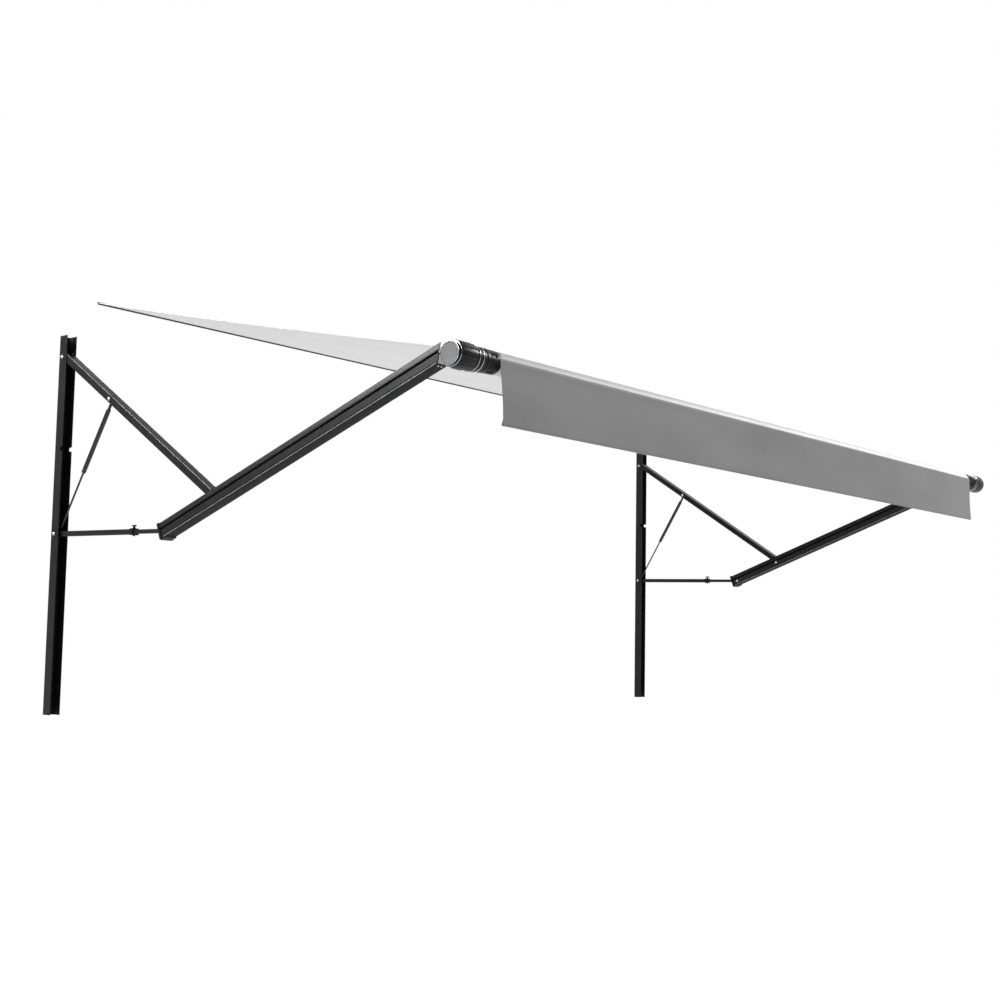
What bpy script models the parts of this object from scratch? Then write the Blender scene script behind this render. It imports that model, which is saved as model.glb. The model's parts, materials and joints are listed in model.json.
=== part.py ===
"""Wall awning with folding side arms, a motor roller, a sloping canopy and a hanging valance.

Units are metres, +Z is up. X runs along the wall, the wall is the plane Y = 0 and the awning reaches
out towards -Y. Z = 0 is the level of the lower ends of the two wall channels, and X = 0 is midway
between them. The model stands in its open position.
"""

import math

import bmesh
import bpy
from mathutils import Vector

# Running clearance between faces that meet, and around bolts and bars
SEAT_GAP = 0.0003
BOLT_PLAY = 0.0003

# Overall layout
ARM_SPACING = 4.230            # centre to centre of the two wall channels
ROLLER_OVERHANG = 0.072        # from a channel's centre to the outer face of the roller head
FABRIC_WIDTH = 3.944
PIVOT_STANDOFF = 0.019         # wall to the pivot bolts of the channel
PIVOT_SPAN = 0.720             # upper to lower pivot bolt
LOWER_PIVOT_HEIGHT = 0.722

# Wall channel: a U open towards the front
CHANNEL_HEAD = 0.088           # upper pivot to the channel's upper end
CHANNEL_LENGTH = LOWER_PIVOT_HEIGHT + PIVOT_SPAN + CHANNEL_HEAD
CHANNEL_WIDTH = 0.047
CHANNEL_DEPTH = 0.048
CHANNEL_WALL = 0.0025
CHANNEL_FILLET = 0.0025
WEB_HOLE_RADIUS = 0.0042
END_HOLE_INSET = 0.012
FOOT_HOLE_HEIGHT = 0.108
HOLE_BELOW_PIVOT = 0.057
HOLE_ABOVE_PIVOT = 0.042
TOP_HOLE_DROP = 0.036          # channel's upper end to the uppermost hole
EDGE_NOTCH_ROOM = 0.0014        # round the strut bolts' heads when the arm is folded
TOP_SLOT_LENGTH = 0.016
TOP_SLOT_WIDTH = 0.006
TOP_SLOT_DROP = 0.026
TOP_BRACKET_INSET = 0.002
TOP_BRACKET_ABOVE_PIVOT = 0.034
TOP_BRACKET_REACH = 0.030
TOP_BRACKET_NOTCH = 0.014

# Folding linkage, in the plane of each arm
PITCH_ARM_REACH = 0.708        # lower pivot to foot pivot
PITCH_ARM_TILT = math.radians(-0.89)
FOOT_TO_ELBOW = 0.277          # along the main arm
ELBOW_RISE = 0.006             # elbow above the foot pivot's line, towards the open side
FOLDED_STANDOFF = 0.069        # foot pivot to wall when the main arm stands upright
STRUT_SEAT_ALONG = 0.377       # from the upper pivot along the upper arm
STRUT_SEAT_RISE = 0.005

# Upper arm: a U open downwards
UPPER_ARM_WIDTH = 0.0396
UPPER_ARM_WALL = 0.0025
UPPER_ARM_ABOVE = 0.022        # pivot line to the closed face
UPPER_ARM_BELOW = 0.007        # pivot line to the open edges
UPPER_ARM_TAIL = 0.014         # past the upper pivot
UPPER_ARM_NOSE = 0.010         # past the elbow at the open edges
UPPER_ARM_NOSE_CUT = 0.008     # shorter by this much at the closed face
ARM_FILLET = 0.002

# Main arm: a U open upwards, with one groove along each outer face
MAIN_ARM_WIDTH = 0.055
MAIN_ARM_WALL = 0.003
MAIN_ARM_WEB = 0.0025
MAIN_ARM_ABOVE = 0.0385        # foot pivot line to the open edges
MAIN_ARM_BELOW = 0.0195        # foot pivot line to the closed face
MAIN_ARM_TAIL = 0.027          # past the foot pivot
MAIN_ARM_TIP = 1.450           # foot pivot to the upper end at the open edges
MAIN_ARM_TIP_CUT = 0.036       # shorter by this much at the closed face
GROOVE_DROP = 0.016            # open edge to the groove
GROOVE_WIDTH = 0.008
GROOVE_DEPTH = 0.0015
STEP_RISE = 0.012              # closed face to the small step on the outer face
STEP_DEPTH = 0.0008

# Foot cap at the lower end of the main arm
CAP_THICKNESS = 0.010
CAP_PROUD = 0.003
CAP_SLOT_WIDTH = 0.026
CAP_SLOT_FLOOR = -0.003        # from the foot pivot line
CAP_TONGUE = 0.023
CAP_TONGUE_DROP = 0.0045
CAP_CHAMFER = 0.005

# Pitch arm: a sleeve, a bar that slides in it, and a pull pin that locks the two
SLEEVE_WIDTH = 0.024
SLEEVE_HEIGHT = 0.020
SLEEVE_WALL = 0.002
SLEEVE_LENGTH = 0.497
SLEEVE_TAIL = 0.009
SLEEVE_FORK_DEPTH = 0.026
BAR_WALL = 0.002
BAR_TAIL_INSERT = 0.150        # bar length inside the sleeve
CROSS_TUBE_RADIUS = 0.0085
COLLAR_LENGTH = 0.020
COLLAR_WALL = 0.0028
COLLAR_BOSS_RADIUS = 0.0055
COLLAR_BOSS_HEIGHT = 0.004
COLLAR_FOOT_HEIGHT = 0.004
LOCK_PIN_RADIUS = 0.0022
LOCK_PIN_TOP = 0.0195          # sleeve axis to the top of the pin
LOCK_HOLE_COUNT = 7
LOCK_HOLE_PITCH = 0.010
KNOB_SPAN = 0.026
KNOB_THICKNESS = 0.0065
KNOB_TOP = 0.0265              # sleeve axis to the top of the T knob
KNOB_STEM_RADIUS = 0.0036

# Gas strut: a barrel with a long rod below and a short rod above
STRUT_BARREL_RADIUS = 0.009
STRUT_BARREL_WALL = 0.0015
STRUT_BARREL_LENGTH = 0.287
STRUT_ROD_RADIUS = 0.004
STRUT_NECK_RADIUS = 0.0056
STRUT_NECK_BORE_SPARE = 0.012  # bore of the short rod beyond the part inside the barrel
STRUT_NECK_SHOWN = 0.042       # strut seat to the barrel
STRUT_NECK_INSERT = 0.050
STRUT_ROD_INSERT = 0.026
STRUT_EYE_RADIUS = 0.0075
STRUT_EYE_WIDTH = 0.0120
STRUT_KNUCKLE_RADIUS = 0.0065

# Bolts
BOLT_RADIUS = 0.004
BOLT_HEAD_RADIUS = 0.0072
BOLT_HEAD_HEIGHT = 0.0045
LOW_HEAD_HEIGHT = 0.0032
ELBOW_BOSS_RADIUS = 0.008

# Roller heads, seen along the roller from the outside inwards
ROLLER_ALONG = 1.504           # foot pivot to roller axis, along the main arm
ROLLER_DROP = 0.035            # roller axis below the foot pivot's line
DRUM_RADIUS = 0.045
DRUM_LENGTH = 0.124
DRUM_RIBS = 20
DRUM_RIB_DEPTH = 0.0016
COVER_RADIUS = 0.0395
COVER_THICKNESS = 0.005
COVER_EDGE = 0.002
RING_RADIUS = 0.0435
RING_WIDTH = 0.008
RING_GROOVE = 0.0014
INNER_RING_RADIUS = 0.0458
INNER_RING_WIDTH = 0.007
STUB_RADIUS = 0.039
STUB_LENGTH = 0.036
STUB_GROOVE = 0.003
SHAFT_RADIUS = 0.015
SHAFT_LENGTH = 0.060
BRACKET_BAND = 0.006
BRACKET_PLUG = 0.070
BRACKET_PLUG_TOP = 0.018       # above the foot pivot's line
BRACKET_ARC_FROM = math.radians(62)
BRACKET_ARC_TO = math.radians(212)

# Roller
TUBE_RADIUS = 0.038
TUBE_WALL = 0.0018
TUBE_KEYWAYS = 3
KEYWAY_WIDTH = 0.006
KEYWAY_DEPTH = 0.005
ROLLER_CAP_RADIUS = 0.0415
ROLLER_CAP_FLANGE = 0.018
ROLLER_CAP_SPIGOT = 0.030
ROLLER_CAP_SLOTS = 8
ROLLER_CAP_SLOT_WIDTH = 0.008
ROLLER_CAP_SLOT_DEPTH = 0.004
MOTOR_RADIUS = 0.0235
MOTOR_LENGTH = 0.520
CROWN_LENGTH = 0.030

# Canopy, valance and the bead that holds the canopy at the wall
RAIL_STANDOFF = 0.010
RAIL_HEIGHT = 1.699
BEAD_RADIUS = 0.004
CLOTH_THICKNESS = 0.0008
CANOPY_SAG = 0.012
CANOPY_STEPS = 24
CANOPY_COLUMNS = 12
CANOPY_EDGE_DIP = 0.004
WRAP_GAP = 0.0003              # roller tube to the cloth that passes over it
CANOPY_END_GAP = 0.004         # canopy's end to the valance's start
VALANCE_DROP = 0.211           # roller axis to the valance's lower edge
VALANCE_HEM_RADIUS = 0.003
ROD_GAP = 0.0006

ROUND_STEPS = 20
SMALL_ROUND_STEPS = 12
SMOOTH_ANGLE = math.radians(35)

BLACK_METAL = ("black_powder_coat", (0.012, 0.012, 0.013), 0.42, 0.6)
BLACK_PLASTIC = ("black_moulded_plastic", (0.016, 0.016, 0.017), 0.38, 0.0)
GREY_PLASTIC = ("grey_moulded_plastic", (0.235, 0.235, 0.240), 0.50, 0.0)
BRIGHT_METAL = ("bright_aluminium", (0.72, 0.72, 0.73), 0.25, 1.0)
ZINC = ("zinc_plated_steel", (0.55, 0.56, 0.57), 0.35, 1.0)
RUBBER = ("black_vinyl_bead", (0.02, 0.02, 0.02), 0.6, 0.0)
CANOPY_CLOTH = ("pale_grey_vinyl", (0.62, 0.62, 0.62), 0.55, 0.0)
VALANCE_CLOTH = ("mid_grey_vinyl", (0.30, 0.30, 0.30), 0.55, 0.0)


def clear_scene():
    for old in list(bpy.data.objects):
        bpy.data.objects.remove(old, do_unlink=True)


def material(spec):
    name, colour, roughness, metallic = spec
    found = bpy.data.materials.get(name)
    if found:
        return found
    made = bpy.data.materials.new(name)
    made.use_nodes = True
    shader = made.node_tree.nodes["Principled BSDF"]
    shader.inputs["Base Color"].default_value = (*colour, 1.0)
    shader.inputs["Roughness"].default_value = roughness
    shader.inputs["Metallic"].default_value = metallic
    made.diffuse_color = (*colour, 1.0)
    return made


def keep_mesh(name, bm, finish, parent=None):
    """Turn a bmesh into a named object with outward faces, under its joint's empty."""
    bmesh.ops.remove_doubles(bm, verts=bm.verts, dist=1e-7)
    bmesh.ops.recalc_face_normals(bm, faces=bm.faces)
    mesh = bpy.data.meshes.new(name)
    bm.to_mesh(mesh)
    bm.free()
    mesh.shade_smooth()
    mesh.set_sharp_from_angle(angle=SMOOTH_ANGLE)
    mesh.materials.append(material(finish))
    made = bpy.data.objects.new(name, mesh)
    bpy.context.scene.collection.objects.link(made)
    made.parent = parent
    return made


def joint_frame(name, x, reach, height, raised):
    """Empty on a joint's axis. Under it, -Y runs out along the piece, raised above level by an angle."""
    empty = bpy.data.objects.new(name, None)
    bpy.context.scene.collection.objects.link(empty)
    empty.empty_display_size = 0.05
    empty.location = (x, -reach, height)
    empty.rotation_euler = (-raised, 0.0, 0.0)
    return empty


def arc(centre, radius, start, stop, steps):
    """Points on an arc, both ends included."""
    points = []
    for step in range(steps + 1):
        angle = start + (stop - start) * step / steps
        points.append((centre[0] + radius * math.cos(angle), centre[1] + radius * math.sin(angle)))
    return points


def rounded(outline, radii, steps=3):
    """Outline with each corner that has a radius turned into an arc of a few points."""
    points = []
    count = len(outline)
    for index, corner in enumerate(outline):
        radius = radii.get(index, 0.0)
        here = Vector(corner)
        if radius <= 0.0:
            points.append(tuple(here))
            continue
        before = (Vector(outline[index - 1]) - here).normalized()
        after = (Vector(outline[(index + 1) % count]) - here).normalized()
        half = before.angle(after) / 2
        reach = radius / math.tan(half)
        centre = here + (before + after).normalized() * (radius / math.sin(half))
        first = here + before * reach - centre
        last = here + after * reach - centre
        for step in range(steps + 1):
            turn = first.normalized().slerp(last.normalized(), step / steps)
            points.append(tuple(centre + turn * radius))
    return points


def prism(bm, outline, place, near, far):
    """Extrude a flat outline between two depths. place(a, b, depth) gives a point in space."""
    low = [bm.verts.new(place(a, b, near)) for a, b in outline]
    high = [bm.verts.new(place(a, b, far)) for a, b in outline]
    bm.faces.new(low)
    bm.faces.new(list(reversed(high)))
    count = len(outline)
    for index in range(count):
        following = (index + 1) % count
        bm.faces.new((low[following], low[index], high[index], high[following]))
    return bm


def section_along(outline, start, stop):
    """Extrude a cross-section, given as (across, up), along an arm. start and stop may vary with height."""
    bm = bmesh.new()
    first = [bm.verts.new((a, -start(b), b)) for a, b in outline]
    last = [bm.verts.new((a, -stop(b), b)) for a, b in outline]
    bm.faces.new(first)
    bm.faces.new(list(reversed(last)))
    count = len(outline)
    for index in range(count):
        following = (index + 1) % count
        bm.faces.new((first[following], first[index], last[index], last[following]))
    return bm


def across(outline, half_width):
    """Extrude a side outline, given as (along, up), to both sides of the arm's middle plane."""
    bm = bmesh.new()
    return prism(bm, outline, lambda a, b, depth: (depth, -a, b), -half_width, half_width)


def turned(profile, steps, place):
    """Revolve (depth, radius) points. The profile starts and ends on the axis, or it is a closed ring."""
    bm = bmesh.new()
    ring_shaped = profile[0][1] > 0.0
    rings = []
    for depth, radius in profile:
        if radius <= 0.0:
            rings.append([bm.verts.new(place(depth, 0.0, 0.0))])
            continue
        ring = []
        for step in range(steps):
            angle = 2 * math.pi * step / steps
            ring.append(bm.verts.new(place(depth, radius * math.cos(angle), radius * math.sin(angle))))
        rings.append(ring)
    pairs = list(zip(rings, rings[1:]))
    if ring_shaped:
        pairs.append((rings[-1], rings[0]))
    for here, there in pairs:
        for step in range(steps):
            following = (step + 1) % steps
            corners = [here[step % len(here)], here[following % len(here)]]
            corners += [there[following % len(there)], there[step % len(there)]]
            unique = list(dict.fromkeys(corners))
            if len(unique) > 2:
                bm.faces.new(unique)
    return bm


def along_x(depth, a, b):
    return (depth, a, b)


def at_point(x, along, up):
    """Placement for a round piece whose axis runs across an arm, at one point of the arm."""
    return lambda depth, a, b: (x + depth, -along + a, up + b)


def facing(outward, along, up):
    """Placement across an arm for a bolt whose head is at negative depth. outward turns it round."""
    return lambda depth, a, b: (outward * depth, -along + a, up + b)


def out_along(x, along, up):
    """Placement for a round piece whose axis runs out along an arm."""
    return lambda depth, a, b: (x + a, -(along + depth), up + b)


def upright(x, along, up):
    """Placement for a round piece whose axis stands up from an arm."""
    return lambda depth, a, b: (x + a, -along + b, up + depth)


def box(low, high):
    bm = bmesh.new()
    bmesh.ops.create_cube(bm, size=1.0)
    for vert in bm.verts:
        for axis in range(3):
            vert.co[axis] = low[axis] if vert.co[axis] < 0 else high[axis]
    return bm


def helper(target, bm, operation):
    """Cut a shape from a piece, or join it on, with an exact Boolean."""
    tool = keep_mesh(f"{target.name}_tool", bm, BLACK_METAL, target.parent)
    tool.hide_render = True
    tool.display_type = "WIRE"
    step = target.modifiers.new(tool.name, "BOOLEAN")
    step.operation = operation
    step.solver = "EXACT"
    step.object = tool
    return target


def cut(target, bm):
    return helper(target, bm, "DIFFERENCE")


def join(target, bm):
    return helper(target, bm, "UNION")


def rod(radius, low, high, place, steps=SMALL_ROUND_STEPS):
    return turned([(low, 0.0), (low, radius), (high, radius), (high, 0.0)], steps, place)


def drill(target, radius, low, high, place):
    return cut(target, rod(radius, low, high, place))


def gathered(shapes):
    """Several shapes that stay clear of each other, as one cutter."""
    together = bmesh.new()
    for bm in shapes:
        carrier = bpy.data.meshes.new("carrier")
        bm.to_mesh(carrier)
        bm.free()
        together.from_mesh(carrier)
        bpy.data.meshes.remove(carrier)
    return together


def bolt_profile(grip_from, grip_to, head_height=BOLT_HEAD_HEIGHT):
    """A bolt from its domed head to its shank's end, as (depth, radius). Its head sits before grip_from."""
    head = grip_from - SEAT_GAP
    top = head - head_height
    edge = head_height * 0.35
    return [
        (top, 0.0),
        (top, BOLT_HEAD_RADIUS - edge),
        (top + edge, BOLT_HEAD_RADIUS),
        (head, BOLT_HEAD_RADIUS),
        (head, BOLT_RADIUS),
        (grip_to, BOLT_RADIUS),
        (grip_to, 0.0),
    ]


def through_bolt_profile(half_grip):
    """A bolt through both walls of an arm, with a head at one end and a nut at the other."""
    nut_face = half_grip + SEAT_GAP
    nut_end = nut_face + BOLT_HEAD_HEIGHT
    head = bolt_profile(-half_grip, nut_face)
    nut = [
        (nut_face, BOLT_HEAD_RADIUS),
        (nut_end, BOLT_HEAD_RADIUS),
        (nut_end, 0.0),
    ]
    return head[:-1] + nut


def meeting_point(first, first_radius, second, second_radius):
    """Where two bars meet, out and above the line from the first pivot to the second."""
    span = second - first
    distance = span.length
    along = (first_radius**2 - second_radius**2 + distance**2) / (2 * distance)
    rise = math.sqrt(first_radius**2 - along**2)
    ahead = span / distance
    left = Vector((-ahead.y, ahead.x))
    return first + ahead * along + left * rise


def angle_of(vector):
    return math.atan2(vector.y, vector.x)


def solve_linkage():
    """Pivots of one arm in the open position, as (reach from the wall, height)."""
    lower = Vector((PIVOT_STANDOFF, LOWER_PIVOT_HEIGHT))
    upper = lower + Vector((0.0, PIVOT_SPAN))
    sideways = FOLDED_STANDOFF - PIVOT_STANDOFF
    folded_foot = lower + Vector((sideways, -math.sqrt(PITCH_ARM_REACH**2 - sideways**2)))
    folded_elbow = folded_foot + Vector((-ELBOW_RISE, FOOT_TO_ELBOW))
    upper_arm = (folded_elbow - upper).length
    link = math.hypot(FOOT_TO_ELBOW, ELBOW_RISE)
    foot = lower + PITCH_ARM_REACH * Vector((math.cos(PITCH_ARM_TILT), math.sin(PITCH_ARM_TILT)))
    elbow = meeting_point(upper, upper_arm, foot, link)
    main_tilt = angle_of(elbow - foot) - math.atan2(ELBOW_RISE, FOOT_TO_ELBOW)
    upper_tilt = angle_of(elbow - upper)
    forward = Vector((math.cos(main_tilt), math.sin(main_tilt)))
    normal = Vector((-forward.y, forward.x))
    roller = foot + forward * ROLLER_ALONG - normal * ROLLER_DROP
    down = Vector((math.cos(upper_tilt), math.sin(upper_tilt)))
    seat = upper + down * STRUT_SEAT_ALONG + Vector((-down.y, down.x)) * STRUT_SEAT_RISE
    folded = (folded_elbow - upper).normalized()
    folded_seat = upper + folded * STRUT_SEAT_ALONG + Vector((-folded.y, folded.x)) * STRUT_SEAT_RISE
    return {
        "upper": upper,
        "lower": lower,
        "foot": foot,
        "elbow": elbow,
        "roller": roller,
        "strut_seat": seat,
        "folded_seat": folded_seat,
        "upper_arm": upper_arm,
        "main_tilt": main_tilt,
        "upper_tilt": upper_tilt,
    }


def u_section(half, above, below, wall, web, fillet):
    """Cross-section of a U with its closed face at the given height and open edges at the other."""
    closed = above
    step = math.copysign(web, closed)
    outline = [
        (-half, below),
        (-half, closed),
        (half, closed),
        (half, below),
        (half - wall, below),
        (half - wall, closed - step),
        (-half + wall, closed - step),
        (-half + wall, below),
    ]
    return rounded(outline, {1: fillet, 2: fillet})


def web_hole_heights():
    """Lag-screw holes near both ends and on either side of the lower pivot."""
    return (
        END_HOLE_INSET,
        FOOT_HOLE_HEIGHT,
        LOWER_PIVOT_HEIGHT - HOLE_BELOW_PIVOT,
        LOWER_PIVOT_HEIGHT + HOLE_ABOVE_PIVOT,
        CHANNEL_LENGTH - TOP_HOLE_DROP,
    )


def web_hole(height, depth):
    return rod(WEB_HOLE_RADIUS, -0.001, depth + 0.001, out_along(0.0, 0.0, height))


def top_slot(half):
    """Adjusting slot across the head of the channel, above the upper pivot."""
    top = CHANNEL_LENGTH - TOP_SLOT_DROP
    low = (-half - 0.001, -PIVOT_STANDOFF - TOP_SLOT_WIDTH / 2, top - TOP_SLOT_LENGTH)
    high = (half + 0.001, -PIVOT_STANDOFF + TOP_SLOT_WIDTH / 2, top)
    return box(low, high)


def build_wall_channel(name, link, frame):
    """U channel with rounded back corners, lag-screw holes, adjusting slots and edge notches."""
    half = CHANNEL_WIDTH / 2
    inner = half - CHANNEL_WALL
    outline = [
        (-half, CHANNEL_DEPTH),
        (-half, 0.0),
        (half, 0.0),
        (half, CHANNEL_DEPTH),
        (inner, CHANNEL_DEPTH),
        (inner, CHANNEL_WALL),
        (-inner, CHANNEL_WALL),
        (-inner, CHANNEL_DEPTH),
    ]
    outline = rounded(outline, {1: CHANNEL_FILLET, 2: CHANNEL_FILLET, 3: 0.001, 0: 0.001})
    bm = bmesh.new()
    prism(bm, outline, lambda a, b, depth: (a, -b, depth), 0.0, CHANNEL_LENGTH)
    channel = keep_mesh(f"{name}_wall_channel", bm, BLACK_METAL, frame)
    cutters = [web_hole(height, CHANNEL_WALL) for height in web_hole_heights()]
    for height in (LOWER_PIVOT_HEIGHT, LOWER_PIVOT_HEIGHT + PIVOT_SPAN):
        place = at_point(0.0, PIVOT_STANDOFF, height)
        cutters.append(rod(BOLT_RADIUS + BOLT_PLAY, -half - 0.001, half + 0.001, place))
    cutters.append(top_slot(half))
    seat = link["folded_seat"]
    room = BOLT_HEAD_RADIUS + EDGE_NOTCH_ROOM
    notch = arc(seat, room, math.pi / 2, 1.5 * math.pi, 8)
    notch += [(CHANNEL_DEPTH + 0.001, seat.y - room), (CHANNEL_DEPTH + 0.001, seat.y + room)]
    cutters.append(across(notch, half + 0.001))
    return cut(channel, gathered(cutters))


def build_top_bracket(name, frame):
    """Folded bracket in the mouth of the channel's top, with a V notch in its raised edge."""
    half = CHANNEL_WIDTH / 2 - CHANNEL_WALL - SEAT_GAP
    back = CHANNEL_WALL + SEAT_GAP
    top = CHANNEL_LENGTH - TOP_BRACKET_INSET
    low = LOWER_PIVOT_HEIGHT + PIVOT_SPAN + TOP_BRACKET_ABOVE_PIVOT
    wall = CHANNEL_WALL
    outline = [
        (-half, back + TOP_BRACKET_REACH),
        (-half, back),
        (half, back),
        (half, back + TOP_BRACKET_REACH),
        (half - wall, back + TOP_BRACKET_REACH),
        (half - wall, back + wall),
        (-half + wall, back + wall),
        (-half + wall, back + TOP_BRACKET_REACH),
    ]
    bm = bmesh.new()
    prism(bm, outline, lambda a, b, depth: (a, -b, depth), low, top)
    bracket = keep_mesh(f"{name}_top_bracket", bm, BLACK_METAL, frame)
    notch = [
        (-TOP_BRACKET_NOTCH, top + 0.001),
        (TOP_BRACKET_NOTCH, top + 0.001),
        (0.0, top - TOP_BRACKET_NOTCH),
    ]
    wedge = bmesh.new()
    prism(wedge, notch, lambda a, b, depth: (a, -depth, b), back - 0.001, back + wall + 0.001)
    hole = web_hole(CHANNEL_LENGTH - TOP_HOLE_DROP, back + wall)
    return cut(bracket, gathered([wedge, hole, top_slot(half)]))


def build_upper_arm(name, side, link, frame):
    """Diagonal U with its closed face up, drilled at the pivot, the strut seat and the elbow."""
    half = UPPER_ARM_WIDTH / 2
    inner = half - UPPER_ARM_WALL
    length = link["upper_arm"]
    outline = u_section(half, UPPER_ARM_ABOVE, -UPPER_ARM_BELOW, UPPER_ARM_WALL, UPPER_ARM_WALL, ARM_FILLET)
    height = UPPER_ARM_ABOVE + UPPER_ARM_BELOW

    def nose(up):
        return length + UPPER_ARM_NOSE - UPPER_ARM_NOSE_CUT * (up + UPPER_ARM_BELOW) / height

    arm = keep_mesh(f"{name}_upper_arm", section_along(outline, lambda up: -UPPER_ARM_TAIL, nose), BLACK_METAL, frame)
    over = half + 0.001
    drill(arm, BOLT_RADIUS + BOLT_PLAY, -over, over, at_point(0.0, 0.0, 0.0))
    seat = at_point(0.0, STRUT_SEAT_ALONG, STRUT_SEAT_RISE)
    drill(arm, BOLT_RADIUS + BOLT_PLAY, -over, over, seat)
    reach = MAIN_ARM_WIDTH / 2 - MAIN_ARM_WALL - SEAT_GAP
    for outward in (-1.0, 1.0):
        low, high = sorted((outward * (half - 0.001), outward * reach))
        boss = [(low, 0.0), (low, ELBOW_BOSS_RADIUS), (high, ELBOW_BOSS_RADIUS), (high, 0.0)]
        join(arm, turned(boss, SMALL_ROUND_STEPS, at_point(0.0, length, 0.0)))
    drill(arm, BOLT_RADIUS + BOLT_PLAY, -reach - 0.001, reach + 0.001, at_point(0.0, length, 0.0))
    shank = bolt_profile(-half, -inner - SEAT_GAP, LOW_HEAD_HEIGHT)
    for place_name, outward in (("outer", -side), ("inner", side)):
        place = facing(outward, STRUT_SEAT_ALONG, STRUT_SEAT_RISE)
        keep_mesh(f"{name}_strut_bolt_{place_name}", turned(shank, SMALL_ROUND_STEPS, place), ZINC, frame)
    return arm


def build_pivot_bolt(name, half_grip, frame):
    return keep_mesh(name, turned(through_bolt_profile(half_grip), SMALL_ROUND_STEPS, along_x), ZINC, frame)


def build_main_arm(name, side, frame):
    """Extruded U with its closed face down. Each outer face has a groove and a small step."""
    half = MAIN_ARM_WIDTH / 2
    inner = half - MAIN_ARM_WALL
    top = MAIN_ARM_ABOVE
    bottom = -MAIN_ARM_BELOW
    groove_top = top - GROOVE_DROP
    groove_low = groove_top - GROOVE_WIDTH
    step = bottom + STEP_RISE
    right_side = [
        (half - STEP_DEPTH, bottom),
        (half - STEP_DEPTH, step - STEP_DEPTH),
        (half, step),
        (half, groove_low),
        (half - GROOVE_DEPTH, groove_low + GROOVE_DEPTH / 2),
        (half - GROOVE_DEPTH, groove_top - GROOVE_DEPTH / 2),
        (half, groove_top),
        (half, top),
        (inner, top),
        (inner, bottom + MAIN_ARM_WEB),
    ]
    outline = right_side + [(-a, b) for a, b in reversed(right_side)]
    last = len(outline) - 1
    outline = rounded(outline, {0: ARM_FILLET, last: ARM_FILLET}, 2)
    height = MAIN_ARM_ABOVE + MAIN_ARM_BELOW

    def tip(up):
        return MAIN_ARM_TIP - MAIN_ARM_TIP_CUT * (top - up) / height

    arm = keep_mesh(f"{name}_main_arm", section_along(outline, lambda up: -MAIN_ARM_TAIL, tip), BLACK_METAL, frame)
    over = half + 0.001
    drill(arm, BOLT_RADIUS + BOLT_PLAY, -over, over, at_point(0.0, 0.0, 0.0))
    drill(arm, BOLT_RADIUS + BOLT_PLAY, -over, over, at_point(0.0, FOOT_TO_ELBOW, ELBOW_RISE))
    shank = bolt_profile(-half, -inner - SEAT_GAP)
    place = facing(side, FOOT_TO_ELBOW, ELBOW_RISE)
    keep_mesh(f"{name}_elbow_bolt", turned(shank, SMALL_ROUND_STEPS, place), ZINC, frame)
    return arm


def build_foot_cap(name, frame):
    """End cap with a thick flange, a slot for the pitch bar and a pointed tongue under the arm."""
    near = -MAIN_ARM_TAIL - SEAT_GAP
    far = near - CAP_THICKNESS
    top = MAIN_ARM_ABOVE + CAP_PROUD
    under = -MAIN_ARM_BELOW - SEAT_GAP
    drop = under - CAP_TONGUE_DROP
    half = MAIN_ARM_WIDTH / 2 + CAP_PROUD
    corners = {0: CAP_CHAMFER, 1: CAP_CHAMFER, 2: CAP_CHAMFER / 2, 3: CAP_CHAMFER / 2}
    flange = rounded([(-half, drop), (half, drop), (half, top), (-half, top)], corners)
    body = section_along(flange, lambda up: far, lambda up: near)
    cap = keep_mesh(f"{name}_foot_cap", body, BLACK_PLASTIC, frame)
    tongue = [
        (near - 0.001, under),
        (near + CAP_TONGUE, under),
        (near + CAP_TONGUE - CAP_CHAMFER, drop),
        (near - 0.001, drop),
    ]
    join(cap, across(tongue, half - CAP_CHAMFER))
    slot_low = (-CAP_SLOT_WIDTH / 2, -near - 0.001, CAP_SLOT_FLOOR)
    slot_high = (CAP_SLOT_WIDTH / 2, -far + 0.001, top + 0.001)
    return cut(cap, box(slot_low, slot_high))


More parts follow.
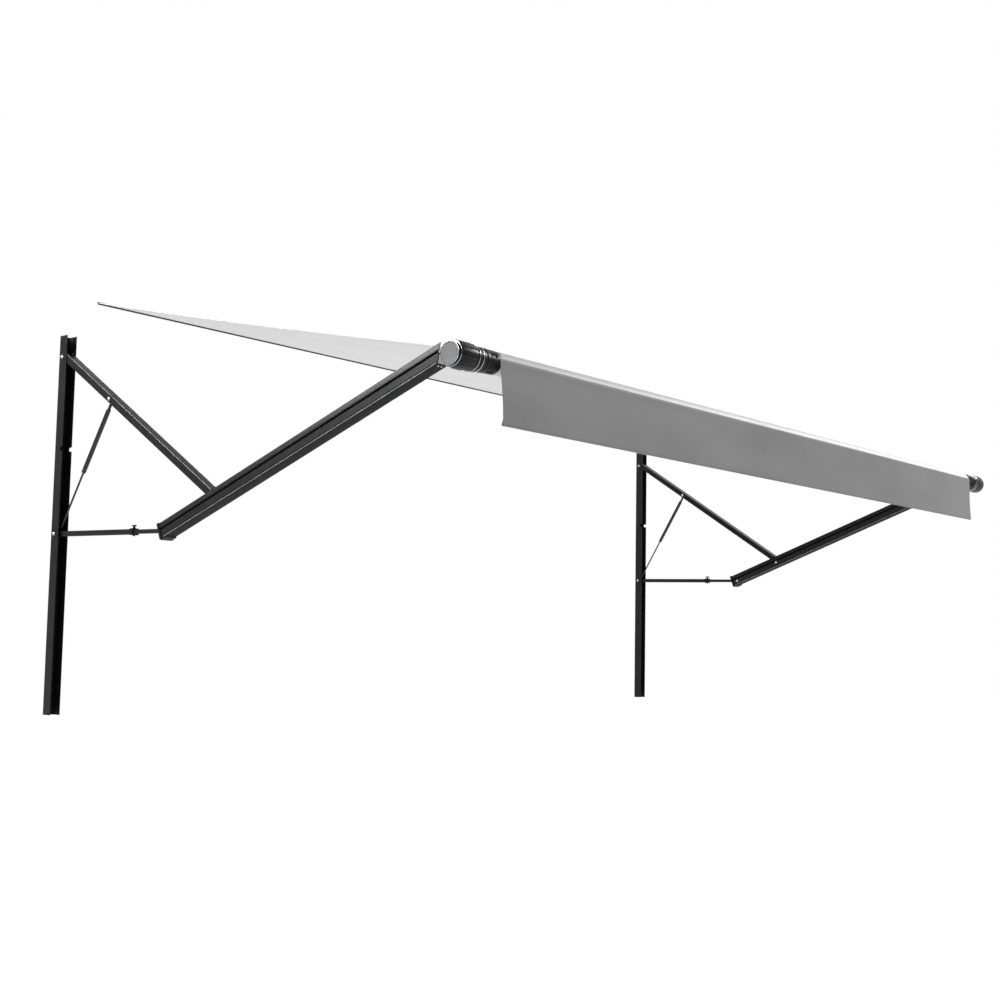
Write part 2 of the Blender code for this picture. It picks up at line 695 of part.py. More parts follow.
def build_pitch_arm(name, side, sleeve_frame, bar_frame):
    """Rectangular sleeve with a forked end, the bar inside it and the collar at its mouth."""
    half_w = SLEEVE_WIDTH / 2
    half_h = SLEEVE_HEIGHT / 2
    outer = [(-half_w, -half_h), (half_w, -half_h), (half_w, half_h), (-half_w, half_h)]
    outer = rounded(outer, {0: 0.002, 1: 0.002, 2: 0.002, 3: 0.002}, 2)
    body = section_along(outer, lambda up: -SLEEVE_TAIL, lambda up: SLEEVE_LENGTH)
    sleeve = keep_mesh(f"{name}_pitch_sleeve", body, BLACK_METAL, sleeve_frame)
    inner_w = half_w - SLEEVE_WALL
    inner_h = half_h - SLEEVE_WALL
    channel_inner = CHANNEL_WIDTH / 2 - CHANNEL_WALL - SEAT_GAP
    tube = [(-channel_inner, 0.0), (-channel_inner, CROSS_TUBE_RADIUS)]
    tube += [(channel_inner, CROSS_TUBE_RADIUS), (channel_inner, 0.0)]
    join(sleeve, turned(tube, SMALL_ROUND_STEPS, along_x))
    cut(sleeve, box((-inner_w, -SLEEVE_LENGTH - 0.001, -inner_h), (inner_w, SLEEVE_TAIL + 0.010, inner_h)))
    fork = STRUT_EYE_WIDTH / 2 + 0.0012
    cut(sleeve, box((-fork, -SLEEVE_FORK_DEPTH, -0.02), (fork, SLEEVE_TAIL + 0.010, 0.02)))
    over = channel_inner + 0.001
    drill(sleeve, BOLT_RADIUS + BOLT_PLAY, -over, over, at_point(0.0, 0.0, 0.0))
    pin_along = SLEEVE_LENGTH - COLLAR_LENGTH / 2
    pin_hole = LOCK_PIN_RADIUS + BOLT_PLAY
    drill(sleeve, pin_hole, 0.0, half_h + 0.001, upright(0.0, pin_along, 0.0))

    bar_w = inner_w - SEAT_GAP
    bar_h = inner_h - SEAT_GAP
    bar_outline = [(-bar_w, -bar_h), (bar_w, -bar_h), (bar_w, bar_h), (-bar_w, bar_h)]
    bar_start = SLEEVE_LENGTH - BAR_TAIL_INSERT - PITCH_ARM_REACH
    solid = section_along(bar_outline, lambda up: bar_start, lambda up: -CROSS_TUBE_RADIUS / 2)
    bar = keep_mesh(f"{name}_pitch_bar", solid, BLACK_METAL, bar_frame)
    reach = MAIN_ARM_WIDTH / 2 - MAIN_ARM_WALL - SEAT_GAP
    cross = [(-reach, 0.0), (-reach, CROSS_TUBE_RADIUS), (reach, CROSS_TUBE_RADIUS), (reach, 0.0)]
    join(bar, turned(cross, SMALL_ROUND_STEPS, along_x))
    hollow = box((-bar_w + BAR_WALL, 0.02, -bar_h + BAR_WALL), (bar_w - BAR_WALL, -bar_start + 0.001, bar_h - BAR_WALL))
    cut(bar, hollow)
    drill(bar, BOLT_RADIUS + BOLT_PLAY, -reach - 0.001, reach + 0.001, at_point(0.0, 0.0, 0.0))
    for number in range(LOCK_HOLE_COUNT):
        hole_from_foot = pin_along - PITCH_ARM_REACH + number * LOCK_HOLE_PITCH
        drill(bar, pin_hole, 0.0, bar_h + 0.001, upright(0.0, hole_from_foot, 0.0))

    wrap = COLLAR_WALL + SEAT_GAP
    cw = half_w + wrap
    ch = half_h + wrap
    ring = rounded([(-cw, -ch), (cw, -ch), (cw, ch), (-cw, ch)], {0: 0.003, 1: 0.003, 2: 0.003, 3: 0.003}, 2)
    start = SLEEVE_LENGTH - COLLAR_LENGTH
    block = section_along(ring, lambda up: start, lambda up: SLEEVE_LENGTH)
    collar = keep_mesh(f"{name}_pitch_collar", block, BLACK_PLASTIC, sleeve_frame)
    boss_top = ch + COLLAR_BOSS_HEIGHT
    boss = [(ch - 0.001, 0.0), (ch - 0.001, COLLAR_BOSS_RADIUS), (boss_top, COLLAR_BOSS_RADIUS), (boss_top, 0.0)]
    join(collar, turned(boss, SMALL_ROUND_STEPS, upright(0.0, pin_along, 0.0)))
    foot_end = -ch - COLLAR_FOOT_HEIGHT
    stub = [(-ch + 0.001, 0.0), (-ch + 0.001, COLLAR_BOSS_RADIUS * 0.8), (foot_end, COLLAR_BOSS_RADIUS * 0.7), (foot_end, 0.0)]
    join(collar, turned(stub, SMALL_ROUND_STEPS, upright(0.0, pin_along, 0.0)))
    gap_w = half_w + SEAT_GAP
    gap_h = half_h + SEAT_GAP
    cut(collar, box((-gap_w, -SLEEVE_LENGTH - 0.001, -gap_h), (gap_w, -start + 0.001, gap_h)))
    drill(collar, pin_hole, 0.0, boss_top + 0.001, upright(0.0, pin_along, 0.0))

    pin_foot = bar_h - BAR_WALL
    pin = [(pin_foot, 0.0), (pin_foot, LOCK_PIN_RADIUS), (LOCK_PIN_TOP, LOCK_PIN_RADIUS), (LOCK_PIN_TOP, 0.0)]
    keep_mesh(f"{name}_lock_pin", turned(pin, SMALL_ROUND_STEPS, upright(0.0, pin_along, 0.0)), ZINC, sleeve_frame)
    build_lock_knob(name, boss_top, pin_along, sleeve_frame)
    return sleeve


def build_lock_knob(name, boss_top, pin_along, frame):
    """T knob: a waisted stem under a bar with round ends and a crowned top."""
    low = boss_top + SEAT_GAP
    bar_low = KNOB_TOP - KNOB_THICKNESS
    stem = [
        (low, 0.0),
        (low, KNOB_STEM_RADIUS + 0.0012),
        (low + 0.0015, KNOB_STEM_RADIUS),
        (bar_low + 0.001, KNOB_STEM_RADIUS + 0.0006),
        (bar_low + 0.001, 0.0),
    ]
    half = KNOB_SPAN / 2
    thin = KNOB_THICKNESS / 2
    crown = [(-half, bar_low + thin)]
    crown += arc((-half + thin, bar_low + thin), thin, math.pi, 1.5 * math.pi, 3)
    crown += arc((half - thin, bar_low + thin), thin, -0.5 * math.pi, 0.0, 3)
    crown += [(half, KNOB_TOP - 0.0012), (half * 0.5, KNOB_TOP), (-half * 0.5, KNOB_TOP), (-half, KNOB_TOP - 0.0012)]
    outline = list(dict.fromkeys(crown))
    bm = bmesh.new()

    def place(a, b, depth):
        return (depth, -(pin_along + a), b)

    prism(bm, outline, place, -thin * 1.3, thin * 1.3)
    knob = keep_mesh(f"{name}_lock_knob", bm, BLACK_PLASTIC, frame)
    join(knob, turned(stem, SMALL_ROUND_STEPS, upright(0.0, pin_along, 0.0)))
    bore_top = LOCK_PIN_TOP + SEAT_GAP
    drill(knob, LOCK_PIN_RADIUS + BOLT_PLAY, low - 0.001, bore_top, upright(0.0, pin_along, 0.0))
    return knob


def build_strut(name, link, frame):
    """Gas strut along the local outward axis, from the eye on the lower pivot to the upper knuckle."""
    length = (link["strut_seat"] - link["lower"]).length
    barrel_top = length - STRUT_NECK_SHOWN
    barrel_low = barrel_top - STRUT_BARREL_LENGTH
    eye_half = STRUT_EYE_WIDTH / 2
    axis = out_along(0.0, 0.0, 0.0)

    rod_top = barrel_low + STRUT_ROD_INSERT
    rod_profile = [(0.0, 0.0), (0.0, STRUT_ROD_RADIUS), (rod_top, STRUT_ROD_RADIUS), (rod_top, 0.0)]
    rod = keep_mesh(f"{name}_strut_rod", turned(rod_profile, SMALL_ROUND_STEPS, axis), ZINC, frame)
    eye = [(-eye_half, 0.0), (-eye_half, STRUT_EYE_RADIUS), (eye_half, STRUT_EYE_RADIUS), (eye_half, 0.0)]
    join(rod, turned(eye, SMALL_ROUND_STEPS, at_point(0.0, 0.0, 0.0)))
    drill(rod, BOLT_RADIUS + BOLT_PLAY, -eye_half - 0.001, eye_half + 0.001, at_point(0.0, 0.0, 0.0))

    lower_bore = STRUT_ROD_RADIUS + BOLT_PLAY
    upper_bore = STRUT_NECK_RADIUS + BOLT_PLAY
    hollow = STRUT_BARREL_RADIUS - STRUT_BARREL_WALL
    barrel_profile = [
        (barrel_low, lower_bore),
        (barrel_low, STRUT_BARREL_RADIUS - 0.001),
        (barrel_low + 0.002, STRUT_BARREL_RADIUS),
        (barrel_top - 0.002, STRUT_BARREL_RADIUS),
        (barrel_top, STRUT_BARREL_RADIUS - 0.001),
        (barrel_top, upper_bore),
        (barrel_top - 0.012, upper_bore),
        (barrel_top - 0.012, hollow),
        (barrel_low + 0.012, hollow),
        (barrel_low + 0.012, lower_bore),
    ]
    keep_mesh(f"{name}_strut_barrel", turned(barrel_profile, SMALL_ROUND_STEPS, axis), BLACK_METAL, frame)

    knuckle_half = UPPER_ARM_WIDTH / 2 - UPPER_ARM_WALL - SEAT_GAP
    neck_low = barrel_top - STRUT_NECK_INSERT
    neck_profile = [(neck_low, 0.0), (neck_low, STRUT_NECK_RADIUS), (length, STRUT_NECK_RADIUS), (length, 0.0)]
    neck = keep_mesh(f"{name}_strut_neck", turned(neck_profile, SMALL_ROUND_STEPS, axis), BLACK_METAL, frame)
    knuckle = [
        (-knuckle_half, 0.0),
        (-knuckle_half, STRUT_KNUCKLE_RADIUS),
        (knuckle_half, STRUT_KNUCKLE_RADIUS),
        (knuckle_half, 0.0),
    ]
    join(neck, turned(knuckle, SMALL_ROUND_STEPS, at_point(0.0, length, 0.0)))
    bore_top = barrel_top + STRUT_NECK_BORE_SPARE
    drill(neck, lower_bore, neck_low - 0.001, bore_top, axis)
    drill(neck, BOLT_RADIUS + BOLT_PLAY, -knuckle_half - 0.001, knuckle_half + 0.001, at_point(0.0, length, 0.0))
    return rod


def build_head_bracket(name, frame):
    """Casting with a plug inside the main arm and a saddle that wraps the inboard side of the drum."""
    inner_half = MAIN_ARM_WIDTH / 2 - MAIN_ARM_WALL - SEAT_GAP
    floor = -MAIN_ARM_BELOW + MAIN_ARM_WEB + SEAT_GAP
    plug_top = BRACKET_PLUG_TOP
    centre = (ROLLER_ALONG, -ROLLER_DROP)
    seat = DRUM_RADIUS + SEAT_GAP
    outer = seat + BRACKET_BAND
    low_tip = MAIN_ARM_TIP - MAIN_ARM_TIP_CUT
    saddle = arc(centre, seat, BRACKET_ARC_FROM, BRACKET_ARC_TO, 14)
    saddle += arc(centre, outer, BRACKET_ARC_TO, math.radians(190), 2)
    saddle += [(low_tip + 0.002, floor - 0.004), (low_tip + 0.002, floor), (low_tip + 0.002, plug_top)]
    saddle += arc(centre, outer, math.radians(112), BRACKET_ARC_FROM, 5)
    bracket = keep_mesh(f"{name}_head_bracket", across(saddle, inner_half), GREY_PLASTIC, frame)
    plug = [
        (MAIN_ARM_TIP - BRACKET_PLUG, floor),
        (low_tip + 0.006, floor),
        (low_tip + 0.006, plug_top),
        (MAIN_ARM_TIP - BRACKET_PLUG, plug_top),
    ]
    join(bracket, across(plug, inner_half - 0.0005))
    return bracket


def build_head(name, side, frame):
    """Cover, bright ring, ribbed drum, inner ring and stub shaft. Depth runs inwards from the outer face."""
    outer_x = side * ROLLER_OVERHANG

    def inwards(depth, a, b):
        return (outer_x - side * depth, -ROLLER_ALONG + a, -ROLLER_DROP + b)

    cover = [
        (0.0, 0.0),
        (0.0, COVER_RADIUS - COVER_EDGE),
        (COVER_EDGE, COVER_RADIUS),
        (COVER_THICKNESS, COVER_RADIUS),
        (COVER_THICKNESS, 0.0),
    ]
    keep_mesh(f"{name}_head_cover", turned(cover, ROUND_STEPS + 8, inwards), GREY_PLASTIC, frame)

    ring_from = COVER_THICKNESS + SEAT_GAP
    ring_to = ring_from + RING_WIDTH
    third = RING_WIDTH / 3
    ring = [
        (ring_from, 0.0),
        (ring_from, RING_RADIUS - RING_GROOVE / 2),
        (ring_from + third * 0.4, RING_RADIUS),
        (ring_from + third, RING_RADIUS),
        (ring_from + third * 1.3, RING_RADIUS - RING_GROOVE),
        (ring_to - third * 1.3, RING_RADIUS - RING_GROOVE),
        (ring_to - third, RING_RADIUS),
        (ring_to, RING_RADIUS),
        (ring_to, 0.0),
    ]
    keep_mesh(f"{name}_head_ring", turned(ring, ROUND_STEPS + 8, inwards), BRIGHT_METAL, frame)

    drum_from = ring_to + SEAT_GAP
    drum_to = drum_from + DRUM_LENGTH
    outline = []
    pitch = 2 * math.pi / DRUM_RIBS
    for rib in range(DRUM_RIBS):
        start = rib * pitch
        low = DRUM_RADIUS - DRUM_RIB_DEPTH
        for share, radius in ((0.10, DRUM_RADIUS), (0.62, DRUM_RADIUS), (0.72, low), (0.98, low)):
            angle = start + pitch * share
            outline.append((radius * math.cos(angle), radius * math.sin(angle)))
    bm = bmesh.new()
    prism(bm, outline, lambda a, b, depth: inwards(depth, a, b), drum_from, drum_to)
    keep_mesh(f"{name}_head_drum", bm, BLACK_PLASTIC, frame)

    inner_from = drum_to + SEAT_GAP
    inner_to = inner_from + INNER_RING_WIDTH
    inner = [
        (inner_from, 0.0),
        (inner_from, INNER_RING_RADIUS - 0.001),
        (inner_from + 0.001, INNER_RING_RADIUS),
        (inner_from + 0.003, INNER_RING_RADIUS),
        (inner_from + 0.0035, INNER_RING_RADIUS - 0.002),
        (inner_to, INNER_RING_RADIUS - 0.002),
        (inner_to, 0.0),
    ]
    keep_mesh(f"{name}_drum_ring", turned(inner, ROUND_STEPS + 8, inwards), BRIGHT_METAL, frame)

    stub_from = inner_to + SEAT_GAP
    stub_to = stub_from + STUB_LENGTH
    stub = [
        (stub_from, 0.0),
        (stub_from, STUB_RADIUS),
        (stub_from + 0.014, STUB_RADIUS),
        (stub_from + 0.017, STUB_RADIUS - STUB_GROOVE),
        (stub_from + 0.022, STUB_RADIUS - STUB_GROOVE),
        (stub_from + 0.025, STUB_RADIUS),
        (stub_to, STUB_RADIUS),
        (stub_to, SHAFT_RADIUS),
        (stub_to + SHAFT_LENGTH, SHAFT_RADIUS),
        (stub_to + SHAFT_LENGTH, 0.0),
    ]
    keep_mesh(f"{name}_stub_shaft", turned(stub, ROUND_STEPS, inwards), BLACK_METAL, frame)
    return stub_to, inwards


def roller_x(side, depth):
    """World X of a point at a depth inwards from the outer face of one roller head."""
    return side * (ARM_SPACING / 2 + ROLLER_OVERHANG - depth)


def build_roller_cap(name, side, stub_to, frame):
    """Cap in the roller's end, with slots round its flange and a bore for the stub shaft."""
    flange_from = stub_to + SEAT_GAP
    flange_to = flange_from + ROLLER_CAP_FLANGE
    spigot_to = flange_to + ROLLER_CAP_SPIGOT
    bore = SHAFT_RADIUS + BOLT_PLAY
    spigot = TUBE_RADIUS - TUBE_WALL - KEYWAY_DEPTH - SEAT_GAP
    profile = [
        (flange_from, bore),
        (flange_from, ROLLER_CAP_RADIUS - 0.001),
        (flange_from + 0.001, ROLLER_CAP_RADIUS),
        (flange_to, ROLLER_CAP_RADIUS),
        (flange_to, spigot),
        (spigot_to, spigot),
        (spigot_to, bore),
    ]

    def place(depth, a, b):
        return (roller_x(side, depth), a, b)

    cap = keep_mesh(f"{name}_roller_cap", turned(profile, ROUND_STEPS + 4, place), BLACK_PLASTIC, frame)
    edge = ROLLER_CAP_RADIUS + 0.002
    for slot in range(ROLLER_CAP_SLOTS // 2):
        angle = math.pi * slot / (ROLLER_CAP_SLOTS // 2)
        for ahead in (-1.0, 1.0):
            bm = box(
                (-0.001, -ROLLER_CAP_SLOT_WIDTH / 2, ROLLER_CAP_RADIUS - ROLLER_CAP_SLOT_DEPTH),
                (ROLLER_CAP_FLANGE * 0.7, ROLLER_CAP_SLOT_WIDTH / 2, edge),
            )
            cosine = math.cos(angle) * ahead
            sine = math.sin(angle) * ahead
            for vert in bm.verts:
                depth, a, b = vert.co
                vert.co = place(flange_from + depth, a * cosine - b * sine, a * sine + b * cosine)
            cut(cap, bm)
    return flange_to


def build_roller_tube(end_depth, frame):
    """Thin tube with keyways pressed in along its length, where the cloth's beads are held."""
    outer = []
    inner = []
    pitch = 2 * math.pi / TUBE_KEYWAYS
    half_angle = KEYWAY_WIDTH / 2 / TUBE_RADIUS
    deep = TUBE_RADIUS - KEYWAY_DEPTH
    arc_steps = 9
    for key in range(TUBE_KEYWAYS):
        start = key * pitch + math.radians(100)
        outer += arc((0.0, 0.0), deep, start - half_angle * 0.8, start + half_angle * 0.8, 1)
        outer += arc((0.0, 0.0), TUBE_RADIUS, start + half_angle, start + pitch - half_angle, arc_steps)
    slim = TUBE_RADIUS - TUBE_WALL
    wide = half_angle + TUBE_WALL / TUBE_RADIUS
    for key in range(TUBE_KEYWAYS):
        start = key * pitch + math.radians(100)
        inner += arc((0.0, 0.0), deep - TUBE_WALL, start - wide * 0.8, start + wide * 0.8, 1)
        inner += arc((0.0, 0.0), slim, start + wide, start + pitch - wide, arc_steps)
    low = roller_x(-1, end_depth + SEAT_GAP)
    high = roller_x(1, end_depth + SEAT_GAP)
    bm = bmesh.new()
    loops = []
    for x in (low, high):
        for points in (outer, inner):
            loops.append([bm.verts.new((x, a, b)) for a, b in points])
    count = len(outer)
    outer_low, inner_low, outer_high, inner_high = loops
    for here, there in ((outer_low, outer_high), (inner_low, inner_high), (outer_low, inner_low), (outer_high, inner_high)):
        for index in range(count):
            following = (index + 1) % count
            bm.faces.new((here[index], here[following], there[following], there[index]))
    return keep_mesh("roller_tube", bm, BRIGHT_METAL, frame)


def build_motor(stub_to, arm_frame, roller_frame):
    """Tube motor held by the left stub shaft, and the crown on its end that drives the roller."""
    start = stub_to + SHAFT_LENGTH + SEAT_GAP
    stop = start + MOTOR_LENGTH
    inner_tube = TUBE_RADIUS - TUBE_WALL - KEYWAY_DEPTH - TUBE_WALL

    def from_left(depth, a, b):
        return (-ROLLER_OVERHANG + depth, -ROLLER_ALONG + a, -ROLLER_DROP + b)

    body = [
        (start, 0.0),
        (start, MOTOR_RADIUS),
        (stop - 0.04, MOTOR_RADIUS),
        (stop - 0.04, MOTOR_RADIUS * 0.94),
        (stop, MOTOR_RADIUS * 0.94),
        (stop, 0.0),
    ]
    keep_mesh("motor", turned(body, ROUND_STEPS, from_left), BLACK_METAL, arm_frame)
    crown_from = roller_x(-1, stop + SEAT_GAP)
    crown_to = crown_from + CROWN_LENGTH
    crown_radius = inner_tube - SEAT_GAP
    crown = [(crown_from, 0.0), (crown_from, crown_radius), (crown_to, crown_radius), (crown_to, 0.0)]
    keep_mesh("drive_crown", turned(crown, ROUND_STEPS, along_x), BLACK_PLASTIC, roller_frame)


def sheet(name, path, half_width, finish, parent, dip=0.0, columns=1):
    """Closed thin sheet that follows a path of (reach, height) points. dip lowers it between its edges."""
    bm = bmesh.new()
    count = len(path)
    layers = []
    for layer in (-0.5, 0.5):
        rows = []
        for index, (reach, height) in enumerate(path):
            before = Vector(path[max(index - 1, 0)])
            after = Vector(path[min(index + 1, count - 1)])
            ahead = (after - before).normalized()
            offset = Vector((-ahead.y, ahead.x)) * layer * CLOTH_THICKNESS
            share = index / (count - 1)
            row = []
            for column in range(columns + 1):
                x = half_width * (2.0 * column / columns - 1.0)
                sag = dip * math.sin(math.pi * share) * math.cos(math.pi * x / (2 * half_width))
                row.append(bm.verts.new((x, -(reach + offset.x), height + offset.y - sag)))
            rows.append(row)
        layers.append(rows)
    low, high = layers
    for index in range(count - 1):
        for column in range(columns):
            for rows in layers:
                bm.faces.new((rows[index][column], rows[index][column + 1], rows[index + 1][column + 1], rows[index + 1][column]))
        for column in (0, columns):
            bm.faces.new((low[index][column], low[index + 1][column], high[index + 1][column], high[index][column]))
    for index in (0, count - 1):
        for column in range(columns):
            bm.faces.new((low[index][column], low[index][column + 1], high[index][column + 1], high[index][column]))
    return keep_mesh(name, bm, finish, parent)


def build_cloth(link):
    """Canopy from the wall bead to the roller, and the valance over and in front of the roller."""
    rail = Vector((RAIL_STANDOFF, RAIL_HEIGHT))
    roller = link["roller"]
    half = FABRIC_WIDTH / 2
    wrap = TUBE_RADIUS + WRAP_GAP + CLOTH_THICKNESS / 2
    span = roller - rail
    slope = angle_of(span) + math.asin(wrap / span.length)
    tangent_angle = slope + math.pi / 2
    tangent = roller + wrap * Vector((math.cos(tangent_angle), math.sin(tangent_angle)))
    ahead = Vector((math.cos(slope), math.sin(slope)))
    start = rail + ahead * (BEAD_RADIUS + SEAT_GAP)
    stop = tangent - ahead * CANOPY_END_GAP
    path = []
    for step in range(CANOPY_STEPS + 1):
        share = step / CANOPY_STEPS
        point = start.lerp(stop, share)
        path.append((point.x, point.y - CANOPY_SAG * 4 * share * (1 - share)))
    bead_frame = joint_frame("wall_bead_axis", 0.0, rail.x, rail.y, 0.0)
    sheet("canopy", path, half, CANOPY_CLOTH, None, CANOPY_EDGE_DIP, CANOPY_COLUMNS)
    bead = [(-half, 0.0), (-half, BEAD_RADIUS), (half, BEAD_RADIUS), (half, 0.0)]
    keep_mesh("wall_bead", turned(bead, SMALL_ROUND_STEPS, along_x), RUBBER, bead_frame)

    over = arc((roller.x, roller.y), wrap, tangent_angle, 0.0, 12)
    lower_edge = roller.y - VALANCE_DROP
    hang = []
    hang_steps = 6
    for step in range(1, hang_steps + 1):
        share = step / hang_steps
        hang.append((roller.x + wrap, roller.y + (lower_edge - roller.y) * share))
    sheet("valance", over + hang, half, VALANCE_CLOTH, None)
    rod_x = roller.x + wrap - CLOTH_THICKNESS / 2 - ROD_GAP - VALANCE_HEM_RADIUS
    rod_frame = joint_frame("hem_rod_axis", 0.0, rod_x, lower_edge + VALANCE_HEM_RADIUS * 2, 0.0)
    rod = [(-half, 0.0), (-half, VALANCE_HEM_RADIUS), (half, VALANCE_HEM_RADIUS), (half, 0.0)]
    keep_mesh("valance_hem_rod", turned(rod, SMALL_ROUND_STEPS, along_x), VALANCE_CLOTH, rod_frame)


def build_side(name, side, link):
    """One wall channel with its arms, strut, pitch arm and roller head."""
    x = side * ARM_SPACING / 2
    upper = link["upper"]
    lower = link["lower"]
    foot = link["foot"]
    strut_tilt = angle_of(link["strut_seat"] - lower)
    wall = joint_frame(f"{name}_wall_line", x, 0.0, 0.0, 0.0)
    upper_axis = joint_frame(f"{name}_upper_axis", x, upper.x, upper.y, link["upper_tilt"])
    lower_axis = joint_frame(f"{name}_lower_axis", x, lower.x, lower.y, PITCH_ARM_TILT)
    strut_axis = joint_frame(f"{name}_strut_axis", x, lower.x, lower.y, strut_tilt)
    bar_axis = joint_frame(f"{name}_bar_axis", x, foot.x, foot.y, PITCH_ARM_TILT)
    foot_axis = joint_frame(f"{name}_foot_axis", x, foot.x, foot.y, link["main_tilt"])

    build_wall_channel(name, link, wall)
    build_top_bracket(name, wall)
    build_pivot_bolt(f"{name}_upper_pivot", CHANNEL_WIDTH / 2, upper_axis)
    build_upper_arm(name, side, link, upper_axis)
    build_strut(name, link, strut_axis)
    build_pivot_bolt(f"{name}_lower_pivot", CHANNEL_WIDTH / 2, lower_axis)
    build_pitch_arm(name, side, lower_axis, bar_axis)
    grip = MAIN_ARM_WIDTH / 2
    foot_bolt = turned(bolt_profile(-grip, grip), SMALL_ROUND_STEPS, facing(side, 0.0, 0.0))
    keep_mesh(f"{name}_foot_pivot", foot_bolt, ZINC, foot_axis)
    build_main_arm(name, side, foot_axis)
    build_foot_cap(name, foot_axis)
    build_head_bracket(name, foot_axis)
    stub_to, _ = build_head(name, side, foot_axis)
    return stub_to, foot_axis


def build_awning():
    clear_scene()
    link = solve_linkage()
    roller = link["roller"]
    roller_axis = joint_frame("roller_axis", 0.0, roller.x, roller.y, link["main_tilt"])
    stub_to, left_foot = build_side("left", -1, link)
    build_side("right", 1, link)
    cap_to = stub_to
    for name, side in (("left", -1), ("right", 1)):
        cap_to = build_roller_cap(name, side, stub_to, roller_axis)
    build_roller_tube(cap_to, roller_axis)
    build_motor(stub_to, left_foot, roller_axis)
    build_cloth(link)


build_awning()
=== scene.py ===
"""Looks of a folding-arm wall awning: black coated arms, ribbed roller heads, vinyl canopy and valance."""

import json
import math

import bmesh
import bpy
from mathutils import Matrix, Vector


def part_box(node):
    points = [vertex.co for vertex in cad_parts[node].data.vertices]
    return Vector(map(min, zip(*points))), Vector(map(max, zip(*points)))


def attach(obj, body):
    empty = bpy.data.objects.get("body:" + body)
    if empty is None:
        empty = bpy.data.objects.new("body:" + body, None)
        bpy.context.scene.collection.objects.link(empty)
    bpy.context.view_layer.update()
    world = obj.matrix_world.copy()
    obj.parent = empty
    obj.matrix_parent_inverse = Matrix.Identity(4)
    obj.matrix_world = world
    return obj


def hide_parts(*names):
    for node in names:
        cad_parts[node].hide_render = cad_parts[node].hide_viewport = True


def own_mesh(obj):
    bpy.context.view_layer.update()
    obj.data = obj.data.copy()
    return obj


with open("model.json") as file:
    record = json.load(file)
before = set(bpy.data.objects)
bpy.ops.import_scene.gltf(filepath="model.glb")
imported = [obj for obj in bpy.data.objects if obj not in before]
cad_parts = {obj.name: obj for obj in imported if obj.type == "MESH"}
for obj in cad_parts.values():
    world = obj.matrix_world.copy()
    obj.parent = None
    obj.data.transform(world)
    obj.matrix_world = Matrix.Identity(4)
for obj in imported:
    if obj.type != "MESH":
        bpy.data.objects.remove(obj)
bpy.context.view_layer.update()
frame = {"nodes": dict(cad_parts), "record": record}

# Camera, fitted to the photograph's pivots and arm ends
CAMERA_PLACE = (-5.60944, -5.12300, 0.31243)
CAMERA_AZIMUTH = math.radians(51.0736)
CAMERA_TILT = math.radians(5.5779)
CAMERA_ROLL = math.radians(1.0112)
CAMERA_LENS = 53.05

SIDES = {"left": -1.0, "right": 1.0}
MM = 0.001
WELD = 1e-6

JOINTS = {joint["name"]: joint for joint in frame["record"]["behaviour"]["joints"]}


def centre(node):
    low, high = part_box(node)
    return (low + high) / 2


def joint_point(name):
    return Vector(JOINTS[name]["pos_m"])


def joint_axis(name):
    return Vector(JOINTS[name]["axis"]).normalized()


UPPER_PIVOT = joint_point("left_upper_fold")
LOWER_PIVOT = joint_point("awning_fold")
FOOT_PIVOT = joint_point("left_foot_fold")
ROLLER = joint_point("roller_wind")
RAIL = joint_point("canopy_swing")
ELBOW = centre("left_elbow_bolt")
STRUT_SEAT = centre("left_strut_bolt_outer")
ARM_X = abs(LOWER_PIVOT.x)
STRUT_AXIS = joint_axis("left_strut_stroke")
PIN_AXIS = joint_axis("left_pin_pull")
BAR_AXIS = PIN_AXIS.cross(Vector((1.0, 0.0, 0.0))).normalized()
TUBE_RADIUS = (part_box("roller_tube")[1].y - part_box("roller_tube")[0].y) / 2
CLOTH_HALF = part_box("canopy")[1].x

# The roller axis lies this far along the main arm and below its pivot line
ROLLER_ALONG = 1.504
ROLLER_DROP = 0.035


def linear(code):
    """An sRGB hex colour as linear red, green, blue and alpha."""
    parts = [int(code[i:i + 2], 16) / 255 for i in (1, 3, 5)]
    return [c / 12.92 if c <= 0.04045 else ((c + 0.055) / 1.055) ** 2.4 for c in parts] + [1.0]


def add(tree, kind, inputs=None, **settings):
    """One node with its settings. An input is a value, or the socket that it is linked from."""
    node = tree.nodes.new("ShaderNode" + kind)
    for name, value in settings.items():
        setattr(node, name, value)
    for name, value in (inputs or {}).items():
        socket = node.inputs[name]
        if isinstance(value, bpy.types.NodeSocket):
            tree.links.new(value, socket)
        else:
            socket.default_value = value
    return node


def new_finish(name, roughness, metallic=0.0, **more):
    """An empty material and its shader, with the surface's constants on the shader's own sockets."""
    made = bpy.data.materials.new(name)
    made.use_nodes = True
    tree = made.node_tree
    shader = tree.nodes["Principled BSDF"]
    shader.inputs["Roughness"].default_value = roughness
    shader.inputs["Metallic"].default_value = metallic
    for label, value in more.items():
        shader.inputs[label.replace("_", " ")].default_value = value
    return made, tree, shader


def object_place(tree, scale=(1.0, 1.0, 1.0), turn=0.0):
    """Object coordinates in metres, turned about X and stretched."""
    where = add(tree, "TexCoord").outputs["Object"]
    if turn:
        where = add(tree, "Mapping", {"Vector": where, "Rotation": (turn, 0.0, 0.0)}).outputs["Vector"]
    return add(tree, "Mapping", {"Vector": where, "Scale": scale}).outputs["Vector"]


